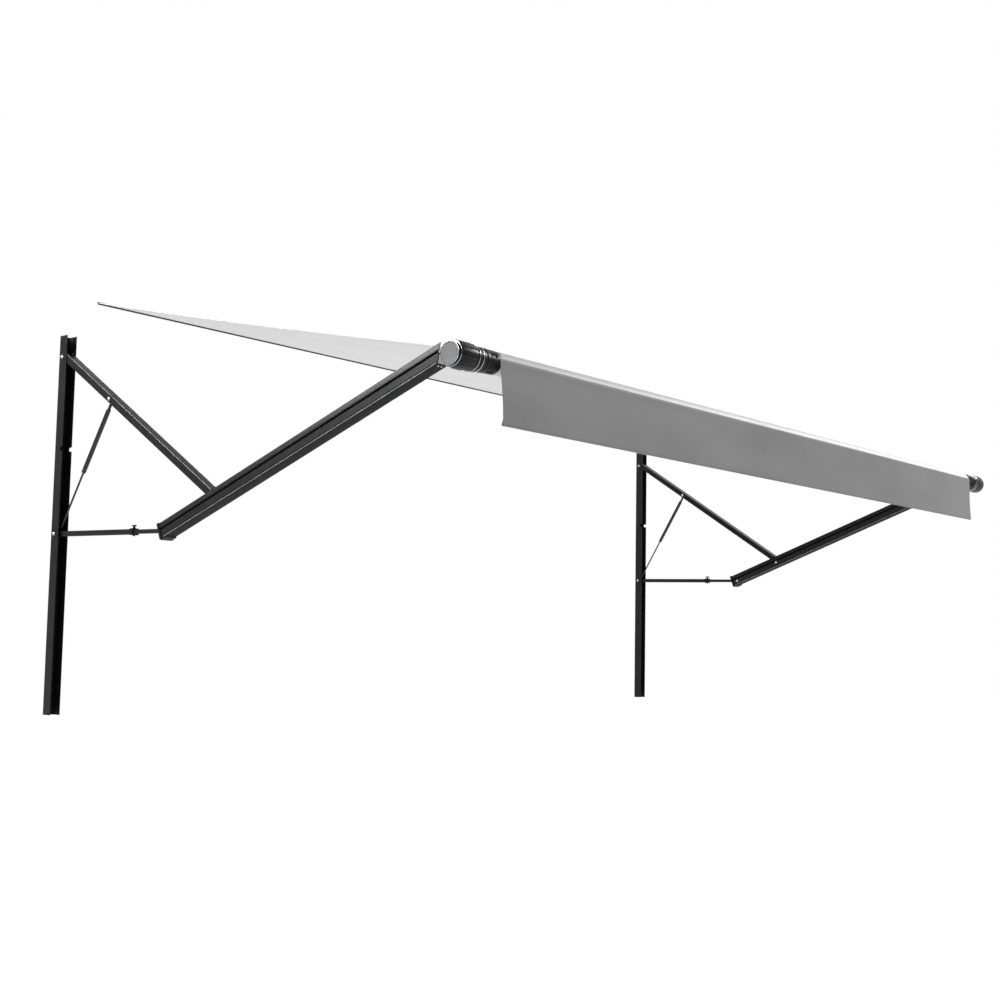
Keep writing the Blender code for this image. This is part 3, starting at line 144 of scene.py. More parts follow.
def mottle(tree, vector, size, dark, light, low=0.35, high=0.65, detail=3.0):
    """Noise of a real size in metres, between two colours."""
    noise = add(tree, "TexNoise", {"Vector": vector, "Scale": 1.0 / size, "Detail": detail})
    ramp = add(tree, "ValToRGB", {"Fac": noise.outputs["Fac"]})
    ramp.color_ramp.elements[0].position = low
    ramp.color_ramp.elements[1].position = high
    ramp.color_ramp.elements[0].color = linear(dark)
    ramp.color_ramp.elements[1].color = linear(light)
    return ramp.outputs["Color"]


def wobble(tree, fac, low, high):
    """A factor from 0 to 1 as a value between two limits, for roughness."""
    return add(tree, "MapRange", {"Value": fac, "To Min": low, "To Max": high}).outputs["Result"]


def bump(tree, height, distance, strength=1.0, normal=None):
    inputs = {"Height": height, "Distance": distance, "Strength": strength}
    if normal is not None:
        inputs["Normal"] = normal
    return add(tree, "Bump", inputs).outputs["Normal"]


def powder_coat(name, turn, level):
    """Satin black polyester powder on extruded aluminium: soft sheen, orange peel, faint die lines."""
    made, tree, shader = new_finish(name, 0.40, IOR=1.5, Specular_IOR_Level=level)
    plain = object_place(tree)
    tone = mottle(tree, plain, 0.090, "#0f0f10", "#151516")
    tree.links.new(tone, shader.inputs["Base Color"])
    # Orange peel is about 1 mm across. It is drawn at 8 mm, as fine as this distance keeps without glitter
    peel = add(tree, "TexNoise", {"Vector": plain, "Scale": 1 / 0.008, "Detail": 0.0})
    lines = add(tree, "TexNoise", {"Vector": object_place(tree, (130.0, 0.5, 110.0), turn), "Detail": 0.0})
    soft = bump(tree, peel.outputs["Fac"], 0.02 * MM, 0.10)
    tree.links.new(bump(tree, lines.outputs["Fac"], 0.03 * MM, 0.10, soft), shader.inputs["Normal"])
    rub = add(tree, "TexNoise", {"Vector": plain, "Scale": 1 / 0.030, "Detail": 4.0})
    worn = wobble(tree, rub.outputs["Fac"], 0.32, 0.44)
    # Powder lands thinly on the faces that hang downwards, so they stay duller
    down = add(tree, "SeparateXYZ", {"Vector": add(tree, "TexCoord").outputs["Normal"]}).outputs["Z"]
    thin = add(tree, "MapRange", {
        "Value": down, "From Min": -0.85, "From Max": -0.35, "To Min": 0.95, "To Max": 0.30,
    }).outputs["Result"]
    rough = add(tree, "Math", {0: worn, 1: thin}, operation="MAXIMUM").outputs[0]
    tree.links.new(rough, shader.inputs["Roughness"])
    return made


def edge_highlight_paint(name):
    """Painted highlight: a pale grey finish for thin rods along the corners. It stands in for the light that
    the rounded corners of the extrusions catch.
    """
    made, tree, shader = new_finish(name, 0.35, IOR=1.5)
    plain = object_place(tree)
    tree.links.new(mottle(tree, plain, 0.060, "#66676a", "#96979a", 0.25, 0.75), shader.inputs["Base Color"])
    rub = add(tree, "TexNoise", {"Vector": plain, "Scale": 1 / 0.020, "Detail": 3.0})
    tree.links.new(wobble(tree, rub.outputs["Fac"], 0.28, 0.44), shader.inputs["Roughness"])
    return made


def moulded_plastic(name, dark, light, rough, grain, level=0.3):
    """Moulded ASA with a fine spark-eroded grain, drawn at about 2 mm so that it shows without glitter."""
    made, tree, shader = new_finish(name, rough, IOR=1.52, Specular_IOR_Level=level)
    plain = object_place(tree)
    tree.links.new(mottle(tree, plain, 0.018, dark, light), shader.inputs["Base Color"])
    spark = add(tree, "TexVoronoi", {"Vector": plain, "Scale": 1 / grain})
    cloud = add(tree, "TexNoise", {"Vector": plain, "Scale": 1 / (grain * 3), "Detail": 2.0})
    fine = bump(tree, spark.outputs["Distance"], 0.03 * MM, 0.2)
    tree.links.new(bump(tree, cloud.outputs["Fac"], 0.05 * MM, 0.15, fine), shader.inputs["Normal"])
    tree.links.new(wobble(tree, cloud.outputs["Fac"], rough - 0.06, rough + 0.08), shader.inputs["Roughness"])
    return made


def turned_aluminium(name, tint, rough):
    """Bright aluminium turned on a lathe: rings of tool marks round the roller's axis, clear lacquer."""
    made, tree, shader = new_finish(name, rough, 1.0, Coat_Weight=0.35, Coat_Roughness=0.12)
    marks = add(tree, "TexNoise", {"Vector": object_place(tree, (2200.0, 2.0, 2.0)), "Detail": 2.0})
    ramp = add(tree, "ValToRGB", {"Fac": marks.outputs["Fac"]})
    ramp.color_ramp.elements[0].color = linear(tint)
    ramp.color_ramp.elements[1].color = linear("#b8b9ba")
    tree.links.new(ramp.outputs["Color"], shader.inputs["Base Color"])
    tree.links.new(bump(tree, marks.outputs["Fac"], 0.04 * MM, 0.5), shader.inputs["Normal"])
    tree.links.new(wobble(tree, marks.outputs["Fac"], rough - 0.06, rough + 0.10), shader.inputs["Roughness"])
    return made


def zinc_plate(name):
    """Zinc-plated steel, passivated: grey-blue with a faint yellow bloom in patches of a few millimetres."""
    made, tree, shader = new_finish(name, 0.34, 1.0)
    plain = object_place(tree)
    bloom = mottle(tree, plain, 0.004, "#b3b8bd", "#d6d3c6", 0.3, 0.7)
    tree.links.new(bloom, shader.inputs["Base Color"])
    crystal = add(tree, "TexVoronoi", {"Vector": plain, "Scale": 1 / 0.0012})
    tree.links.new(bump(tree, crystal.outputs["Distance"], 0.03 * MM, 0.35), shader.inputs["Normal"])
    tree.links.new(wobble(tree, crystal.outputs["Distance"], 0.26, 0.42), shader.inputs["Roughness"])
    return made


def nitrided_steel(name, rough):
    """Salt-bath nitrided steel: dark, with a dull metallic sheen in fine rings."""
    made, tree, shader = new_finish(name, rough, 1.0)
    rings = add(tree, "TexNoise", {"Vector": object_place(tree, (4.0, 900.0, 900.0)), "Detail": 1.0})
    ramp = add(tree, "ValToRGB", {"Fac": rings.outputs["Fac"]})
    ramp.color_ramp.elements[0].color = linear("#2a2b2d")
    ramp.color_ramp.elements[1].color = linear("#3b3c3f")
    tree.links.new(ramp.outputs["Color"], shader.inputs["Base Color"])
    tree.links.new(wobble(tree, rings.outputs["Fac"], rough - 0.04, rough + 0.08), shader.inputs["Roughness"])
    return made


def strut_enamel(name):
    """Stoved black enamel on the strut's barrel: glossy, with slight waves from dipping."""
    made, tree, shader = new_finish(
        name, 0.22, IOR=1.5, Specular_IOR_Level=0.3, Coat_Weight=0.1, Coat_Roughness=0.08)
    plain = object_place(tree)
    tree.links.new(mottle(tree, plain, 0.025, "#0c0c0d", "#121213"), shader.inputs["Base Color"])
    wave = add(tree, "TexNoise", {"Vector": plain, "Scale": 1 / 0.009, "Detail": 1.0})
    tree.links.new(bump(tree, wave.outputs["Fac"], 0.10 * MM, 0.3), shader.inputs["Normal"])
    tree.links.new(wobble(tree, wave.outputs["Fac"], 0.17, 0.28), shader.inputs["Roughness"])
    return made


def slot_shadow_paint(name):
    """Painted shade: a matt near-black finish with a fine pile bump. It stands in for the shadow in a deep
    slot, so the slot reads as a dark gap.
    """
    made, tree, shader = new_finish(name, 0.95, IOR=1.5, Specular_IOR_Level=0.02)
    plain = object_place(tree)
    tree.links.new(mottle(tree, plain, 0.005, "#030303", "#070707"), shader.inputs["Base Color"])
    pile = add(tree, "TexNoise", {"Vector": plain, "Scale": 1 / 0.003, "Detail": 2.0})
    tree.links.new(bump(tree, pile.outputs["Fac"], 0.2 * MM, 0.4), shader.inputs["Normal"])
    tree.links.new(wobble(tree, pile.outputs["Fac"], 0.88, 1.0), shader.inputs["Roughness"])
    return made


def vinyl_cord(name):
    """Flexible PVC over the keder cord: matt, dark, with a slight skin texture."""
    made, tree, shader = new_finish(name, 0.55, IOR=1.53)
    plain = object_place(tree)
    tree.links.new(mottle(tree, plain, 0.012, "#101011", "#171718"), shader.inputs["Base Color"])
    skin = add(tree, "TexNoise", {"Vector": plain, "Scale": 1 / 0.0015, "Detail": 2.0})
    tree.links.new(bump(tree, skin.outputs["Fac"], 0.10 * MM, 0.5), shader.inputs["Normal"])
    tree.links.new(wobble(tree, skin.outputs["Fac"], 0.48, 0.62), shader.inputs["Roughness"])
    return made


# PVC-coated polyester has threads about 1 mm apart. They are drawn at 3 mm, as coarse as shows here
THREAD = 0.003


def vinyl_cloth(name, dark, light, rough, translucency, slope):
    """PVC-coated polyester: its scrim shows through the film as a square grid, with soft cloudy patches."""
    made, tree, shader = new_finish(name, rough, IOR=1.46, Specular_IOR_Level=0.2, Sheen_Weight=0.04)
    plain = object_place(tree)
    flat = object_place(tree, (1.0, 1.0, 1.0), slope)
    clouds = mottle(tree, plain, 0.45, dark, light, 0.3, 0.7, 4.0)
    speckle = mottle(tree, plain, 0.0016, "#f2f2f2", "#ffffff", 0.3, 0.7, 1.0)
    film = add(tree, "Mix", {0: 1.0, 6: clouds, 7: speckle}, data_type="RGBA",
               blend_type="MULTIPLY").outputs[2]
    axes = add(tree, "SeparateXYZ", {"Vector": flat})
    threads = []
    for axis in ("X", "Y"):
        turned_wave = add(tree, "Math", {0: axes.outputs[axis], 1: math.tau / THREAD}, operation="MULTIPLY")
        threads.append(add(tree, "Math", {0: turned_wave.outputs[0]}, operation="SINE").outputs[0])
    grid = add(tree, "Math", {0: threads[0], 1: threads[1]}, operation="MAXIMUM")
    raised = wobble(tree, grid.outputs[0], 0.35, 0.65)
    woven = add(tree, "Mix", {0: raised, 6: film, 7: linear("#f0f0f0")}, data_type="RGBA",
                blend_type="MULTIPLY").outputs[2]
    tree.links.new(woven, shader.inputs["Base Color"])
    weave = bump(tree, grid.outputs[0], 0.05 * MM, 0.35)
    ripple = add(tree, "TexNoise", {"Vector": plain, "Scale": 1 / 0.22, "Detail": 2.0})
    tree.links.new(bump(tree, ripple.outputs["Fac"], 3.0 * MM, 0.35, weave), shader.inputs["Normal"])
    patch = add(tree, "TexNoise", {"Vector": plain, "Scale": 1 / 0.12, "Detail": 3.0})
    tree.links.new(wobble(tree, patch.outputs["Fac"], rough - 0.06, rough + 0.08), shader.inputs["Roughness"])
    if translucency:
        glow = add(tree, "BsdfTranslucent", {"Color": woven})
        both = add(tree, "MixShader", {"Fac": translucency, 1: shader.outputs[0], 2: glow.outputs[0]})
        tree.links.new(both.outputs[0], tree.nodes["Material Output"].inputs["Surface"])
    return made


def floor_paint(name):
    """Plain pale studio floor, lit a little from below like a light table, so that it stays white."""
    made, tree, shader = new_finish(name, 0.9)
    where = object_place(tree)
    tree.links.new(mottle(tree, where, 2.5, "#b6b6b6", "#bcbcbc"), shader.inputs["Base Color"])
    tree.links.new(mottle(tree, where, 2.5, "#f4f4f4", "#fafafa"), shader.inputs["Emission Color"])
    shader.inputs["Emission Strength"].default_value = 0.80
    return made


def tilt_of(vector):
    """Angle of a direction in the arm's plane, above level and outwards."""
    return math.atan2(vector.z, -vector.y)


MAIN_TILT = tilt_of(ROLLER - FOOT_PIVOT) + math.asin(ROLLER_DROP / math.hypot(ROLLER_ALONG, ROLLER_DROP))
UPPER_TILT = tilt_of(ELBOW - UPPER_PIVOT)
BAR_TILT = tilt_of(BAR_AXIS)
STRUT_TILT = tilt_of(STRUT_AXIS)
CANOPY_TILT = tilt_of(Vector((0.0, ROLLER.y, ROLLER.z + TUBE_RADIUS)) - RAIL)

FINISH = {
    "channel": powder_coat("channel_powder_coat", math.pi / 2, 0.24),
    "upper": powder_coat("upper_arm_powder_coat", UPPER_TILT, 0.19),
    "main": powder_coat("main_arm_powder_coat", MAIN_TILT, 0.26),
    "bar": powder_coat("pitch_arm_powder_coat", BAR_TILT, 0.24),
    "black_plastic": moulded_plastic("black_moulded_asa", "#0c0c0d", "#141415", 0.32, 0.0022, 0.08),
    "knob_plastic": moulded_plastic("black_knob_nylon", "#0c0c0d", "#131314", 0.55, 0.0022, 0.12),
    "grey_plastic": moulded_plastic("grey_moulded_asa", "#515254", "#58595b", 0.50, 0.0024),
    "bracket_metal": moulded_plastic("grey_painted_casting", "#4e5053", "#5c5e61", 0.42, 0.0026),
    "ring": turned_aluminium("turned_aluminium", "#77797b", 0.24),
    "tube": turned_aluminium("mill_aluminium_tube", "#a4a6a8", 0.34),
    "zinc": zinc_plate("zinc_plated_steel"),
    "rod": nitrided_steel("nitrided_steel_rod", 0.24),
    "enamel": strut_enamel("strut_enamel"),
    # Painted highlight: the pale rods along the arms' long corners
    "edge": edge_highlight_paint("painted_edge_highlight"),
    # Painted shade: the matt black strips on the floors of the main arms' slots
    "slot_shade": slot_shadow_paint("painted_slot_shadow"),
    "cord": vinyl_cord("keder_vinyl"),
    "canopy": vinyl_cloth("canopy_coated_polyester", "#c8c8c8", "#d0d0d0", 0.52, 0.06, CANOPY_TILT),
    "valance": vinyl_cloth("valance_coated_polyester", "#707070", "#797979", 0.50, 0.0, math.pi / 2),
}


def coat(node, finish, edge=0.0004):
    """A CAD node keeps its shape and gets its finish, with edges eased as the coating eases them."""
    target = frame["nodes"][node]
    target.data.materials.clear()
    target.data.materials.append(FINISH[finish])
    if edge:
        weld = target.modifiers.new("weld", "WELD")
        weld.merge_threshold = WELD
        ease = target.modifiers.new("eased_edges", "BEVEL")
        ease.width = edge
        ease.segments = 2
        ease.limit_method = "ANGLE"
        ease.angle_limit = math.radians(40)
        ease.harden_normals = False
        shade = target.modifiers.new("even_shading", "WEIGHTED_NORMAL")
        shade.keep_sharp = False
    return target


def finish_piece(name, bm, finish, body, replaced=(), smooth=True):
    bmesh.ops.remove_doubles(bm, verts=bm.verts, dist=WELD)
    bmesh.ops.recalc_face_normals(bm, faces=bm.faces)
    mesh = bpy.data.meshes.new(name)
    bm.to_mesh(mesh)
    bm.free()
    if smooth:
        mesh.shade_smooth()
        mesh.set_sharp_from_angle(angle=math.radians(38))
    mesh.materials.append(FINISH[finish])
    made = bpy.data.objects.new(name, mesh)
    bpy.context.scene.collection.objects.link(made)
    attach(made, body)
    if replaced:
        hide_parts(*replaced)
    return made


def basis(origin, axis, up=(0.0, 0.0, 1.0)):
    """Matrix that takes local X along the axis and local Z as near up as can be."""
    x = Vector(axis).normalized()
    y = Vector(up).cross(x)
    if y.length < 1e-6:
        y = Vector((0.0, 1.0, 0.0))
    y.normalize()
    z = x.cross(y)
    rows = Matrix((x, y, z)).transposed().to_4x4()
    return Matrix.Translation(Vector(origin)) @ rows


def lathe(profile, frame_matrix, segments=48, radius_at=None):
    """Revolve (depth, radius) points about local X. radius_at may reshape the ring by angle."""
    bm = bmesh.new()
    rings = []
    for depth, radius in profile:
        if radius <= 0.0:
            rings.append([bm.verts.new(frame_matrix @ Vector((depth, 0.0, 0.0)))])
            continue
        ring = []
        for step in range(segments):
            angle = math.tau * step / segments
            actual = radius_at(depth, radius, angle) if radius_at else radius
            local = Vector((depth, actual * math.cos(angle), actual * math.sin(angle)))
            ring.append(bm.verts.new(frame_matrix @ local))
        rings.append(ring)
    pairs = list(zip(rings, rings[1:]))
    if profile[0][1] > 0.0:
        pairs.append((rings[-1], rings[0]))
    for here, there in pairs:
        for step in range(segments):
            after = (step + 1) % segments
            loop = [here[step % len(here)], here[after % len(here)]]
            loop += [there[after % len(there)], there[step % len(there)]]
            unique = list(dict.fromkeys(loop))
            if len(unique) > 2:
                bm.faces.new(unique)
    return bm


def merged(*shapes):
    together = bmesh.new()
    for bm in shapes:
        carrier = bpy.data.meshes.new("carrier")
        bm.to_mesh(carrier)
        bm.free()
        together.from_mesh(carrier)
        bpy.data.meshes.remove(carrier)
    return together


def rounded_profile(points, radius, steps=4):
    """Round the corners of an open (depth, radius) profile whose ends stay as they are."""
    out = [points[0]]
    for before, here, after in zip(points, points[1:], points[2:]):
        a = Vector(before) - Vector(here)
        b = Vector(after) - Vector(here)
        reach = min(radius, a.length * 0.45, b.length * 0.45)
        p = Vector(here) + a.normalized() * reach
        q = Vector(here) + b.normalized() * reach
        for step in range(steps + 1):
            t = step / steps
            out.append(tuple((1 - t) ** 2 * p + 2 * t * (1 - t) * Vector(here) + t * t * q))
    out.append(points[-1])
    return out


# Bolt heads: domed, with a washer face and a hexagon socket
HEAD_RADIUS = 0.0072
HEAD_HEIGHT = 0.0045
SOCKET_RADIUS = 0.0030
SOCKET_DEPTH = 0.0022


def hexagon(radius, angle):
    """Distance from the middle of a hexagon to its edge, at an angle."""
    sector = (angle + math.pi / 6) % (math.pi / 3) - math.pi / 6
    return radius * math.cos(math.pi / 6) / math.cos(sector)


def bolt_head(point, outward, height=HEAD_HEIGHT, radius=HEAD_RADIUS):
    """A button head that sits on a face at the point and looks outward."""
    profile = [
        (0.0, 0.0), (0.0, radius), (height * 0.16, radius), (height * 0.20, radius * 0.94),
        (height * 0.55, radius * 0.86), (height * 0.86, radius * 0.68), (height, radius * 0.50),
        (height, SOCKET_RADIUS), (height - SOCKET_DEPTH, SOCKET_RADIUS * 0.96), (height - SOCKET_DEPTH, 0.0),
    ]

    def shape(depth, ring, angle):
        return hexagon(ring, angle) if ring <= SOCKET_RADIUS else ring

    return lathe(profile, basis(point, (outward, 0.0, 0.0)), 36, shape)


def shank(start, stop, radius=0.004):
    axis = Vector(stop) - Vector(start)
    profile = [(0.0, 0.0), (0.0, radius), (axis.length, radius), (axis.length, 0.0)]
    return lathe(profile, basis(start, axis), 24)


def lock_nut(point, outward, radius=HEAD_RADIUS, height=HEAD_HEIGHT):
    """A hexagon lock nut with a chamfered crown and its nylon collar."""
    profile = [
        (0.0, 0.0), (0.0, radius), (height * 0.62, radius), (height * 0.74, radius * 0.84),
        (height, radius * 0.78), (height, radius * 0.58), (height * 0.9, radius * 0.54), (height * 0.9, 0.0),
    ]

    def shape(depth, ring, angle):
        return hexagon(ring, angle) if depth < height * 0.7 and ring > radius * 0.9 else ring

    return lathe(profile, basis(point, (outward, 0.0, 0.0)), 36, shape)


def mirrored(point, side):
    return Vector((abs(point.x) * side, point.y, point.z))


def pivot_bolts(name, side):
    """Through bolts at the channel's two pivots and the foot, and the short bolts of strut and elbow."""
    for node, point in (("upper_pivot", UPPER_PIVOT), ("lower_pivot", LOWER_PIVOT)):
        low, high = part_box(f"{name}_{node}")
        place = mirrored(point, side)
        face_low = Vector((low.x + HEAD_HEIGHT, place.y, place.z))
        face_high = Vector((high.x - HEAD_HEIGHT, place.y, place.z))
        bm = merged(bolt_head(face_low, -1.0), shank(face_low, face_high), lock_nut(face_high, 1.0))
        finish_piece(f"{name}_{node}_bolt", bm, "zinc", "wall_frame", [f"{name}_{node}"])
    shorts = (
        ("strut_bolt_outer", side, "upper_arm", "zinc"),
        ("strut_bolt_inner", -side, "upper_arm", "zinc"),
        ("elbow_bolt", -side, "main_arm", "zinc"),
        ("foot_pivot", -side, "main_arm", "zinc"),
    )
    for node, outward, body, finish in shorts:
        low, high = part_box(f"{name}_{node}")
        middle = (low + high) / 2
        height = (high.z - low.z) * (0.22 if node.startswith("strut") else 0.30)
        tip = high.x if outward > 0 else low.x
        back = low.x if outward > 0 else high.x
        face = Vector((tip - outward * height, middle.y, middle.z))
        inside = Vector((back + outward * 0.0005, middle.y, middle.z))
        bm = merged(bolt_head(face, outward, height), shank(face, inside))
        finish_piece(f"{name}_{node}_screw", bm, finish, f"{name}_{body}", [f"{name}_{node}"])


def gas_strut(name, side):
    """Ground rod with its eye, enamelled barrel with rolled ends, and the short upper rod."""
    origin = mirrored(LOWER_PIVOT, side)
    along = basis(origin, STRUT_AXIS)
    seat = Vector((origin.x, STRUT_SEAT.y, STRUT_SEAT.z))
    length = (seat - origin).dot(STRUT_AXIS)
    start = length - 0.042 - 0.287
    stop = length - 0.042
    radius = 0.009
    barrel = rounded_profile([
        (start, 0.0045), (start, radius - 0.0022), (start + 0.004, radius - 0.0004), (start + 0.007, radius),
        (start + 0.013, radius), (start + 0.014, radius - 0.0007), (start + 0.016, radius - 0.0007),
        (start + 0.017, radius), (stop - 0.010, radius), (stop - 0.004, radius - 0.0004),
        (stop, radius - 0.0026), (stop, 0.0060),
    ], 0.0006)
    barrel += [(stop - 0.012, 0.0060), (stop - 0.012, 0.0072)]
    barrel += [(start + 0.012, 0.0072), (start + 0.012, 0.0045)]
    finish_piece(f"{name}_strut_tube", lathe(barrel, along, 40), "enamel", f"{name}_strut_barrel",
                 [f"{name}_strut_barrel"])
    rod = [(0.0062, 0.0), (0.0062, 0.004), (start + 0.026, 0.004), (start + 0.026, 0.0)]
    finish_piece(f"{name}_strut_rod_shaft", merged(lathe(rod, along, 28), eye(origin, 0.0075, 0.012)), "rod",
                 f"{name}_strut_rod", [f"{name}_strut_rod"])
    neck = [
        (stop - 0.050, 0.0044), (stop - 0.050, 0.0056), (length - 0.014, 0.0056), (length - 0.011, 0.0068),
        (length - 0.004, 0.0068), (length - 0.004, 0.0044),
    ]
    finish_piece(f"{name}_strut_upper_rod", merged(lathe(neck, along, 28), eye(seat, 0.0065, 0.034)), "bar",
                 f"{name}_strut_barrel", [f"{name}_strut_neck"])


def eye(point, radius, width, bore=0.0043):
    half = width / 2
    edge = 0.0006
    profile = [
        (-half, bore), (-half, radius - edge), (-half + edge, radius), (half - edge, radius),
        (half, radius - edge), (half, bore),
    ]
    return lathe(profile, basis(point, (1.0, 0.0, 0.0)), 28)


# Roller heads. Depth runs inwards from the outer face
RIBS = 20
RIB_DEPTH = 0.0014
DRUM_RADIUS = 0.0447
CAP_SLOTS = 8


def rib_shape(depth, radius, angle):
    """Broad flat ribs with narrow grooves between them, eased at the edges."""
    if radius < 0.042:
        return radius
    share = (angle / math.tau * RIBS) % 1.0
    if share < 0.72:
        fall = 0.0 if 0.10 <= share <= 0.62 else min(abs(share - 0.10), abs(share - 0.62)) / 0.10
    else:
        fall = 1.0
    return radius - RIB_DEPTH * min(fall, 1.0)


def ring_profile(start, stop, outer, inner):
    edge = min(0.0007, (stop - start) / 3)
    return [
        (start, inner), (start, outer - edge), (start + edge * 0.3, outer - edge * 0.3),
        (start + edge, outer),
        (stop - edge, outer), (stop - edge * 0.3, outer - edge * 0.3), (stop, outer - edge), (stop, inner),
    ]


def roller_head(name, side):
    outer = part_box(f"{name}_head_cover")[0].x if side < 0 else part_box(f"{name}_head_cover")[1].x
    place = basis((outer, ROLLER.y, ROLLER.z), (-side, 0.0, 0.0))
    body = f"{name}_main_arm"
    cover = rounded_profile([
        (0.0012, 0.0), (0.0012, 0.0300), (0.0008, 0.0310), (0.0008, 0.0368), (0.0014, 0.0378),
        (0.0050, 0.0378), (0.0050, 0.0),
    ], 0.0006)
    finish_piece(f"{name}_end_cover", lathe(cover, place, 96), "grey_plastic", body, [f"{name}_head_cover"])
    rings = merged(
        lathe(ring_profile(0.0, 0.0026, 0.0398, 0.0381), place, 96),
        lathe(ring_profile(0.0100, 0.0126, 0.0434, 0.0400), place, 96),
    )
    finish_piece(f"{name}_trim_rings", rings, "ring", body, [f"{name}_head_ring"])
    inner_rings = merged(
        lathe(ring_profile(0.0982, 0.1008, 0.0460, 0.0420), place, 96),
        lathe(ring_profile(0.1186, 0.1220, 0.0452, 0.0420), place, 96),
    )
    finish_piece(f"{name}_inner_trim_rings", inner_rings, "ring", body, [f"{name}_drum_ring"])
    neck_band = lathe(ring_profile(0.0026, 0.0100, 0.0405, 0.0380), place, 96)
    start = 0.0130
    stop = 0.0980
    drum = [
        (start, 0.0), (start, DRUM_RADIUS - 0.0012), (start + 0.0010, DRUM_RADIUS - 0.0003),
        (start + 0.0024, DRUM_RADIUS), (stop - 0.0024, DRUM_RADIUS), (stop - 0.0010, DRUM_RADIUS - 0.0003),
        (stop, DRUM_RADIUS - 0.0012), (stop, 0.0),
    ]
    ribbed = merged(lathe(drum, place, RIBS * 10, rib_shape), neck_band)
    finish_piece(f"{name}_ribbed_drum", ribbed, "black_plastic", body, [f"{name}_head_drum"])
    neck = rounded_profile([
        (0.1010, 0.0), (0.1010, 0.0436), (0.1030, 0.0441), (0.1165, 0.0441), (0.1184, 0.0436),
        (0.1184, 0.0410), (0.1222, 0.0410), (0.1224, 0.0418), (0.1390, 0.0412), (0.1404, 0.0394),
        (0.1440, 0.0394), (0.1454, 0.0410), (0.1600, 0.0405), (0.1608, 0.0396), (0.1608, 0.0150),
        (0.2400, 0.0150), (0.2400, 0.0),
    ], 0.0007, 3)
    finish_piece(f"{name}_neck_and_shaft", lathe(neck, place, 96), "black_plastic", body,
                 [f"{name}_stub_shaft"])

    def slotted(depth, radius, angle):
        share = (angle / math.tau * CAP_SLOTS) % 1.0
        in_slot = 0.30 < share < 0.70 and 0.1655 < depth < 0.1955 and radius > 0.0388
        return 0.0362 if in_slot else radius

    cap = [(0.1613, 0.0160), (0.1613, 0.0382), (0.1622, 0.0394), (0.1640, 0.0398), (0.1654, 0.0398)]
    cap += [(0.1656, 0.0398), (0.1800, 0.0396), (0.1954, 0.0394), (0.1956, 0.0394), (0.2070, 0.0392)]
    cap += [(0.2120, 0.0390), (0.2130, 0.0386), (0.2130, 0.0382), (0.2058, 0.0382), (0.2058, 0.0309)]
    cap += [(0.2290, 0.0309), (0.2290, 0.0160)]
    finish_piece(f"{name}_slotted_end_cap", lathe(cap, place, 192, slotted), "black_plastic", "roller",
                 [f"{name}_roller_cap"])
    return body


def lock_knob(name, side):
    """Moulded T handle: a waisted stem and a bar with rounded ends and a crowned top."""
    pivot = mirrored(joint_point("left_knob_turn"), side)
    up = joint_axis("left_knob_turn")
    along = BAR_AXIS
    points = [v.co for v in frame["nodes"][f"{name}_lock_knob"].data.vertices]
    heights = [(p - pivot).dot(up) for p in points]
    base, top = min(heights), max(heights)
    stem_frame = basis(pivot, up, along)
    bar_low = top - 0.0065
    stem = rounded_profile([
        (base, 0.0025), (base, 0.0046), (base + 0.0016, 0.0042), (bar_low - 0.001, 0.0034),
        (bar_low + 0.0008, 0.0044), (bar_low + 0.0020, 0.0044), (bar_low + 0.0020, 0.0025),
    ], 0.0005, 3)
    half = 0.013
    bar = bmesh.new()
    rings = []
    count = 20
    stations = 18
    for station in range(stations + 1):
        t = -1.0 + 2.0 * station / stations
        s = math.copysign(1 - (1 - abs(t)) ** 1.6, t)
        waist = 1.0 - 0.12 * math.cos(math.pi * s / 2) ** 2
        end = math.sqrt(max(1.0 - abs(s) ** 6, 0.0))
        ring = []
        for step in range(count):
            angle = math.tau * step / count
            a = math.cos(angle) * 0.0040 * waist * max(end, 0.02)
            b = math.sin(angle) * 0.00325 * max(end, 0.02)
            at = pivot + along * (half * s) + Vector((1, 0, 0)) * a + up * (bar_low + 0.00325 + b)
            ring.append(bar.verts.new(at))
        rings.append(ring)
    for here, there in zip(rings, rings[1:]):
        for step in range(count):
            after = (step + 1) % count
            bar.faces.new((here[step], here[after], there[after], there[step]))
    bar.faces.new(rings[0])
    bar.faces.new(rings[-1])
    finish_piece(f"{name}_t_handle", merged(lathe(stem, stem_frame, 28), bar), "knob_plastic",
                 f"{name}_lock_knob", [f"{name}_lock_knob"])


def arm_place(name, side):
    """The main arm's own frame: X along it from the foot pivot, Y across, Z towards its open side."""
    ahead = Vector((0.0, -math.cos(MAIN_TILT), math.sin(MAIN_TILT)))
    return basis(mirrored(FOOT_PIVOT, side), ahead)


# The main arm's section: open on top, each outer face with an undercut slot and a fine bead low down.
# The folded arm closes over the channel, so the slot keeps inside the arm's wall
ARM_HALF = 0.0275
ARM_WALL = 0.0030
ARM_TOP = 0.0385
ARM_FLOOR = -0.0195
ARM_TAIL = -0.027
ARM_TIP = 1.450
ARM_TIP_CUT = 0.036
SLOT_TOP = 0.0192
SLOT_LOW = 0.0104
SLOT_DEEP = 0.0024
SLOT_STOP = 1.428
SHADOW_STRIP_THICKNESS = 0.0005


